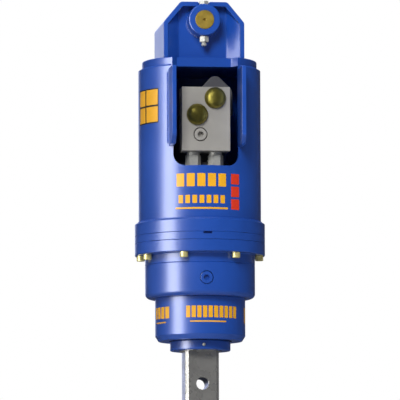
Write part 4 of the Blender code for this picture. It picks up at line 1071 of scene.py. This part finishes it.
def screw_tree(material):
    """Nodes that put a socket screw's head and shank, downwards, on each point."""
    tree = bpy.data.node_groups.new("socket_screws", "GeometryNodeTree")
    interface = tree.interface
    for side in ("INPUT", "OUTPUT"):
        interface.new_socket("Geometry", in_out=side, socket_type="NodeSocketGeometry")
    for label in ("Head radius", "Head height", "Socket width"):
        interface.new_socket(label, in_out="INPUT", socket_type="NodeSocketFloat").min_value = 0
    points, radius, height, socket = list(add_node(tree, "NodeGroupInput").outputs)[:4]

    def cylinder(sides, wide, deep, top):
        form = {"Vertices": sides, "Radius": wide, "Depth": deep}
        mesh = from_node(tree, "GeometryNodeMeshCylinder", form)
        offset = from_node(tree, "ShaderNodeCombineXYZ", {"Z": top})
        return from_node(tree, "GeometryNodeTransform", {"Geometry": mesh, "Translation": offset})

    def times(value, share):
        return add_math(tree, "MULTIPLY", value, share)

    head = cylinder(HEAD_STEPS, radius, height, times(height, -0.5))
    recess = cylinder(6, times(socket, 1 / math.sqrt(3)), height, times(height, -1.0))
    shank_size = times(radius, SHANK_SHARE), times(height, 0.5)
    shank = cylinder(SHANK_STEPS, *shank_size, times(height, SHANK_TOP_SHARE))
    forms = {"Mesh 1": head, "Mesh 2": recess}
    cut = from_node(tree, "GeometryNodeMeshBoolean", forms, operation="DIFFERENCE")
    both = add_node(tree, "GeometryNodeJoinGeometry").inputs["Geometry"]
    tree.links.new(cut, both)
    tree.links.new(shank, both)
    screw = {"Points": points, "Instance": both.node.outputs["Geometry"]}
    placed = from_node(tree, "GeometryNodeInstanceOnPoints", screw)
    real = from_node(tree, "GeometryNodeRealizeInstances", {"Geometry": placed})
    plated = from_node(tree, "GeometryNodeSetMaterial", {"Geometry": real, "Material": material})
    add_node(tree, "NodeGroupOutput", {"Geometry": plated})
    return tree


def make_flange_screws():
    s = sizes()
    places = [(*middle(node).xy, screw_seat()) for node in screw_nodes()]
    mesh = bpy.data.meshes.new("flange_screws")
    mesh.from_pydata(places, [], [])
    screws = add_object("flange_screws", mesh)
    modifier = screws.modifiers.new("screws", "NODES")
    modifier.node_group = screw_tree(material_for("yellow_zinc"))
    radius = radius_of("flange_bolt_1")
    values = {"Head radius": radius, "Head height": s.screw_head, "Socket width": s.screw_socket}
    for item in modifier.node_group.interface.items_tree:
        if item.name in values:
            modifier[item.identifier] = values[item.name]
    bake(screws)
    bevelled(screws, s.edge, segments=2, angle=60)
    finish_piece(screws, "yellow_zinc", *screw_nodes())


# The motor and its manifold

CAP_FOOT_SHARE = 0.96
CAP_STEP_SHARE = 0.2
DOME_SHARE = 0.96
DOME_STEP = math.radians(6)
DOME_POINTS = 15
LOBE_SHARES = (0, 0, 1.3, 1, 0.5)
COLLAR_SHARE = 0.48


def make_motor():
    s = sizes()
    low, high = corners("motor_housing")
    seat = corners("hood_tube")[0].z
    flange = radius_of("motor_housing")
    upper = radius_of("motor_end_cover")
    lower = s.motor_body
    spigot = s.foot_bore - s.seat_gap
    flange_top = seat + s.motor_flange
    lower_top = flange_top + s.motor_step
    line = lower_top + s.motor_line
    profile = [
        (0, high.z), (upper, high.z),
        (upper, line + s.groove), (upper - s.groove, line), (upper, line - s.groove),
        (upper, lower_top), (lower, lower_top), (lower, flange_top), (flange, flange_top),
        (flange, seat), (spigot, seat), (spigot, low.z), (0, low.z),
    ]
    edge = s.casting_edge
    radii = [0, s.edge, 0, 0, 0, edge, edge, edge * 2, edge, s.edge, 0, 0, 0]
    motor = turned("motor_body", profile, radii)
    top = lower_top - s.port_height
    ports = box("ports", (-s.port_half, low.y, top - s.port_height), (s.port_half, -lower / 2, top))
    combine(motor, bevelled(ports, edge), "UNION")
    finish_piece(motor, "cast_grey", "motor_housing")
    low, high = corners("motor_end_cover")
    cap = turned("motor_cap", disc_profile(upper, low.z, high.z), [0, edge, s.edge, 0])
    finish_piece(cap, "cast_grey", "motor_end_cover")


def make_motor_bolts():
    s = sizes()
    for index in (1, 2):
        node = f"motor_bolt_{index}"
        low, high = corners(node)
        seat = high.z - s.motor_bolt_head
        bolt = hex_head(f"motor_screw_{index}", high.y - low.y, seat, high.z)
        shank = threaded("thread", s.motor_bolt, low.z, seat + s.motor_bolt_head / 2, s.motor_pitch)
        shift(combine(bolt, shank, "UNION"), *middle(node).xy)
        finish_piece(bolt, "clear_zinc", node)


def make_valve_housing():
    """The lobed casting whose crown shows above the manifold."""
    s = sizes()
    low, high = corners("valve_housing")
    place = middle("valve_housing").x
    lobe = s.lobe_radius
    slope = math.atan2(high.x - place, s.lobe_drop)
    peak = high.z + lobe * (1 / math.sin(slope) - 1)
    shoulder = peak - s.lobe_drop
    left = shoulder - lobe / 4
    outline = [(low.x, low.z), (high.x, low.z), (high.x, shoulder), (place, peak), (low.x, left)]
    radii = [lobe * share for share in LOBE_SHARES]
    casting = extruded("valve_casting", [rounded(outline, radii, steps=8)], high.y - low.y)
    bevelled(face_front(casting, low.y), s.casting_edge, angle=50)
    finish_piece(casting, "cast_grey", "valve_housing")


def make_manifold():
    s = sizes()
    low, high = corners("manifold_block")
    block = bevelled(box("manifold", low, high), s.edge)
    place = middle("manifold_plug")
    ends = [(place.x, y, place.z) for y in (corners("manifold_plug")[0].y, low.y + s.plug_well)]
    combine(block, rod("well", radius_of("manifold_plug"), *ends))
    finish_piece(block, "block_grey", "manifold_block")
    make_plug("block_plug", "manifold_plug", "block_grey", s.block_plug_play, s.plug_well)


def make_port_cap(name, node):
    """A domed cap with a rolled foot ring."""
    low, high = corners(node)
    foot = radius_of(node) * CAP_FOOT_SHARE
    depth = high.y - low.y
    step = depth * CAP_STEP_SHARE
    arc = [DOME_STEP * index for index in range(DOME_POINTS)]
    dome = [(foot * DOME_SHARE * math.cos(a), step + (depth - step) * math.sin(a)) for a in arc]
    profile = [(0, depth), *reversed(dome), (foot, step), (foot, 0), (0, 0)]
    radii = [0] * (len(dome) + 1) + [step / 4, 0, 0]
    cap = turned(name, profile, radii, SMALL_ROUND_STEPS)
    finish_piece(stand_at(cap, node), "olive_cap", node)


def make_adaptor(name, node):
    """A hex adaptor with a turned collar at each end."""
    collar = sizes().adaptor_collar
    low, high = corners(node)
    across = high.y - low.y
    body = hex_head(name, across, low.z + collar, high.z - collar, True)
    core = disc_profile(across * COLLAR_SHARE, low.z, high.z)
    combine(body, turned("collar", core, steps=SMALL_ROUND_STEPS), "UNION")
    finish_piece(shift(body, *middle(node).xy), "clear_zinc", node)


# Film marks, plain and without words: from and to an angle in degrees, from and to a height in mm

MM_PER_M = 1000
PANEL_HEIGHT = 34
RED_HEIGHT = 23


def row(count, start, pitch, width, bottom, top):
    return [(start + pitch * index, start + pitch * index + width, bottom, top) for index in range(count)]


SHELL_PANELS = [
    (left, right, low, low + PANEL_HEIGHT)
    for low in (669, 631) for left, right in ((-66.3, -49.4), (-81.2, -68.3))
]
SHELL_BARS = row(5, -29, 9.9, 7.6, 483, 512) + row(7, -27, 6.6, 4.4, 446, 464) + [(-30, 20, 433, 437)]
SHELL_RED_BARS = [(23.5, 32.5, low, low + RED_HEIGHT) for low in (433, 461, 489)]
PANEL_BACKING = [(-82.0, -48.6, 628.5, 705.5)]
NECK_BARS = row(10, -25, 7.2, 5.4, 197, 223) + row(4, -84, 9, 7, 197, 223)
NECK_BARS += [(-20, 28, 187, 190), (-80, -56, 187, 190), (68, 75, 189, 223)]


def make_film(name, radius, patches, look):
    """Rounded patches of film, laid on a cylinder."""
    s = sizes()
    corner = s.film_corner
    sheets = bmesh.new()
    for start, end, bottom, top in patches:
        left, right = radius * math.radians(start), radius * math.radians(end)
        low, high = bottom / MM_PER_M, top / MM_PER_M
        outline = rounded([(left, low), (right, low), (right, high), (left, high)], corner)
        patch = extruded("patch", [outline], s.film)
        sheets.from_mesh(patch.data)
        bpy.data.objects.remove(patch, do_unlink=True)
    reach = max(abs(vertex.co.x) for vertex in sheets.verts)
    for index in range(-int(reach / corner), int(reach / corner) + 1):
        everything = sheets.verts[:] + sheets.edges[:] + sheets.faces[:]
        bmesh.ops.bisect_plane(sheets, geom=everything, plane_co=(index * corner, 0, 0), plane_no=(1, 0, 0))
    for vertex in sheets.verts:
        along, height, depth = vertex.co
        vertex.co = polar(radius + depth + s.film / 2, math.degrees(along / radius), height)
    bmesh.ops.recalc_face_normals(sheets, faces=sheets.faces)
    finish_piece(from_bmesh(name, sheets), "blue_paint", look=look)


def make_marks():
    shell = radius_of("hood_tube")
    make_film("panel_backing", shell, PANEL_BACKING, "dark_film")
    make_film("shell_panels", shell + sizes().film, SHELL_PANELS, "yellow_film")
    make_film("shell_bars", shell, SHELL_BARS, "yellow_film")
    make_film("shell_red_bar", shell, SHELL_RED_BARS, "red_film")
    make_film("neck_bars", radius_of("bearing_housing"), NECK_BARS, "yellow_film")


def finish_inner_pieces():
    """Gears, bearings and the seal keep their packed meshes and get their materials."""
    for part in frame["record"]["subparts"]:
        give_material(frame["nodes"][part["node"]], part["material_slot"])


# The stage

TOWARDS_SHEET = (0, 1, 0.3)
SHEET_START, SHEET_END = 0.985, 1.01
SHEET_TINT = (0.62, 0.69, 1)
SHEET_LEVEL = 1.6
ROOM_LEVEL = 0.08
SOFT_LEVEL = 0.16
WHITE = (1, 1, 1)
FLOOR_RADIUS = 30.0
FLOOR_STEPS = 96
FLOOR_SHADES = ("F4F4F3", "F8F8F8")
# Each lamp's place from the middle of the view, its width and height, and whether it lights only gloss
LAMPS = {
    "tall_band": ((-1.79, -0.89, 0), (1.0, 2.4), True),
    "upper_left_box": ((-1.7, -1.9, 2.0), (0.9, 0.9), True),
    "front_light": ((-1.3, -3.4, 1.9), (1.4, 1.4), False),
    "back_light": ((0.4, 3.8, 0.8), (1.4, 1.4), False),
    "top_light": ((0, 0, 3.1337), (2.0, 2.0), False),
}


def make_world():
    """Soft light all round. Gloss mirrors a bluish sheet behind, above the horizon, and a dim room."""
    world = bpy.data.worlds.new("studio")
    bpy.context.scene.world = world
    world.use_nodes = True
    tree = world.node_tree
    tree.nodes.clear()
    direction = from_node(tree, "ShaderNodeTexCoord", output="Generated")
    ends = {0: direction, 1: TOWARDS_SHEET}
    facing = from_node(tree, "ShaderNodeVectorMath", ends, output="Value", operation="DOT_PRODUCT")
    smooth = {"interpolation_type": "SMOOTHSTEP"}
    sheet = add_range(tree, facing, SHEET_START, SHEET_END, ROOM_LEVEL, SHEET_LEVEL, **smooth)
    rays = add_node(tree, "ShaderNodeLightPath").outputs
    glossy = rays["Is Glossy Ray"]
    mirrored = from_node(tree, "ShaderNodeMix", {"Factor": glossy, "A": SOFT_LEVEL, "B": sheet})
    seen = add_math(tree, "MAXIMUM", rays["Is Camera Ray"], rays["Is Transmission Ray"])
    tint = add_mix(tree, glossy, WHITE, SHEET_TINT)
    level = add_math(tree, "MAXIMUM", seen, mirrored)
    background = from_node(tree, "ShaderNodeBackground", {"Color": tint, "Strength": level})
    add_node(tree, "ShaderNodeOutputWorld", {"Surface": background})


def make_lamp(name, place, size, watts, mirrored):
    """A rectangular softbox that faces the drive, and lights either its gloss or its surfaces."""
    lamp = bpy.data.lights.new(name, "AREA")
    lamp.shape = "RECTANGLE"
    lamp.size, lamp.size_y = size
    lamp.energy = watts
    item = add_object(name, lamp)
    place = Vector(place)
    item.location = place + Vector((0, 0, bpy.context.scene.stage_settings.view_height))
    item.rotation_euler = (-place).to_track_quat("-Z", "Y").to_euler()
    item.visible_glossy = mirrored
    item.visible_diffuse = not mirrored
    item.visible_camera = False


def make_camera():
    stage = bpy.context.scene.stage_settings
    target = Vector((stage.view_side, 0, stage.view_height))
    flat, rise = math.cos(stage.elevation), math.sin(stage.elevation)
    direction = Vector((math.sin(stage.azimuth) * flat, -math.cos(stage.azimuth) * flat, rise))
    data = bpy.data.cameras.new("camera")
    data.lens = data.sensor_width * stage.distance / stage.view_width
    camera = add_object("camera", data)
    camera.location = target + direction * stage.distance
    turn = (-direction).to_track_quat("-Z", "Y") @ Quaternion((0, 0, 1), stage.roll)
    camera.rotation_euler = turn.to_euler()
    bpy.context.scene.camera = camera


def make_floor():
    """A wide pale floor, well below the drive, which hangs over it."""
    work = bmesh.new()
    bmesh.ops.create_circle(work, cap_ends=True, segments=FLOOR_STEPS, radius=FLOOR_RADIUS)
    floor = shift(from_bmesh("floor", work), z=-bpy.context.scene.stage_settings.floor_drop)
    shades = [linear(code) for code in FLOOR_SHADES]
    floor.data.materials.append(coated("floor_paint", shades, metallic=0.0, roughness=(0.8, 0.8), patch=0.4))
    floor.visible_glossy = False


def make_stage():
    stage = bpy.context.scene.stage_settings
    bpy.context.scene.view_settings.view_transform = "Standard"
    make_world()
    powers = (stage.band_power, stage.spot_power, stage.front_power, stage.back_power, stage.top_power)
    for (name, (place, size, mirrored)), watts in zip(LAMPS.items(), powers):
        make_lamp(name, place, size, watts, mirrored)
    make_camera()
    make_floor()


# Operators, in the order in which they run


def operator(name, text, *steps, adds_nothing=False):
    """An operator that runs steps, each a function and its arguments, and tests what they made."""
    label = name.replace("_", " ").capitalize()

    def execute(self, context):
        before = set(context.scene.objects.keys())
        for step, *values in steps:
            step(*values)
        made = [item for item in context.scene.objects if item.name not in before]
        if not made and not adds_nothing:
            raise RuntimeError(f"{label} made nothing")
        for item in made:
            if item.type == "MESH" and item.matrix_world != Matrix.Identity(4):
                raise RuntimeError(f"{item.name} was not left at the origin")
        return {"FINISHED"}

    parts = {"bl_idname": f"auger_drive.{name}", "bl_label": label, "__doc__": text, "execute": execute}
    return type(f"OBJECT_OT_{name}", (bpy.types.Operator,), parts)


OPERATORS = (
    operator("hood_tube", "Make the hood's tube with its hose window", [make_hood_tube]),
    operator(
        "window_cheeks", "Make the two cheek plates beside the window",
        [make_cheek, "left_cheek", "left_window_cheek"], [make_cheek, "right_cheek", "right_window_cheek"],
    ),
    operator("top_plate", "Make the hood's lid with its notch over the window", [make_top_plate]),
    operator("base_flange", "Make the hood's foot flange", [make_base_flange]),
    operator("hood_welds", "Lay the weld beads of the hood", [make_hood_welds]),
    operator("hanger_arch", "Make the hanger's bent arch", [make_arch]),
    operator(
        "lug_plates", "Make the two bent lug plates under the arch",
        [make_lug, "front_lug", "front_lug_plate", -1], [make_lug, "rear_lug", "rear_lug_plate", 1],
    ),
    operator(
        "pin_bosses", "Make the two bosses that hold the hitch pin",
        [make_boss, "front_boss", "front_pin_boss", -1], [make_boss, "rear_boss", "rear_pin_boss", 1],
    ),
    operator("hitch_pin", "Make the hitch pin with its dimpled end", [make_hitch_pin]),
    operator("lock_bolt", "Make the bolt and nut that lock the hitch pin", [make_lock_bolt]),
    operator("hanger_welds", "Lay the weld beads of the hanger", [make_hanger_welds]),
    operator("gearbox", "Make the gearbox housing and its slotted lid", [make_gearbox], [make_input_cover]),
    operator("oil_plug", "Make the gearbox's painted oil plug", [make_oil_plug]),
    operator("bearing_neck", "Make the bearing housing under the gearbox", [make_neck]),
    operator(
        "seal_cover", "Make the seal's cover and its grease nipple",
        [make_seal_cover], [make_grease_nipple],
    ),
    operator("output_shaft", "Make the square shaft with its cross hole", [make_output_shaft]),
    operator("flange_screws", "Set the screws round the gearbox's flange", [make_flange_screws]),
    operator("motor", "Make the motor, its cap and its bolts", [make_motor], [make_motor_bolts]),
    operator("valve_housing", "Make the casting behind the manifold", [make_valve_housing]),
    operator("manifold", "Make the manifold block and its plug", [make_manifold]),
    operator(
        "port_caps", "Make the two domed port caps",
        [make_port_cap, "upper_cap", "upper_port_cap"], [make_port_cap, "lower_cap", "lower_port_cap"],
    ),
    operator(
        "port_adaptors", "Make the two hex adaptors below the manifold",
        [make_adaptor, "left_adaptor", "left_port_adaptor"],
        [make_adaptor, "right_adaptor", "right_port_adaptor"],
    ),
    operator("film_marks", "Lay the plain film marks on the paint", [make_marks]),
    operator(
        "inner_pieces", "Give the gears, the bearings and the seal their materials",
        [finish_inner_pieces], adds_nothing=True,
    ),
    operator("stage", "Make the floor, the lights and the camera", [make_stage]),
)
GROUPS = {"drive_sizes": DriveSizes, "drive_colours": DriveColours, "stage_settings": StageSettings}


class VIEW3D_PT_auger_drive(bpy.types.Panel):
    """The drive's sizes, colours and operators"""

    bl_label = "Auger drive"
    bl_idname = "VIEW3D_PT_auger_drive"
    bl_space_type = "VIEW_3D"
    bl_region_type = "UI"
    bl_category = "Auger"

    def draw(self, context):
        for title, group in zip(("Sizes", "Colours", "Stage"), GROUPS):
            part = self.layout.box()
            part.label(text=title)
            values = getattr(context.scene, group)
            for name in values.bl_rna.properties.keys():
                if name not in ("rna_type", "name"):
                    part.prop(values, name)
        for item in OPERATORS:
            self.layout.operator(item.bl_idname)


CLASSES = (*OPERATORS, VIEW3D_PT_auger_drive)


def register():
    for name, group in GROUPS.items():
        bpy.utils.register_class(group)
        setattr(bpy.types.Scene, name, PointerProperty(type=group))
    for item in CLASSES:
        bpy.utils.register_class(item)


def unregister():
    for item in reversed(CLASSES):
        bpy.utils.unregister_class(item)
    for name, group in GROUPS.items():
        delattr(bpy.types.Scene, name)
        bpy.utils.unregister_class(group)


def main():
    register()
    for item in OPERATORS:
        space, name = item.bl_idname.split(".")
        getattr(getattr(bpy.ops, space), name)()


if __name__ == "__main__":
    main()
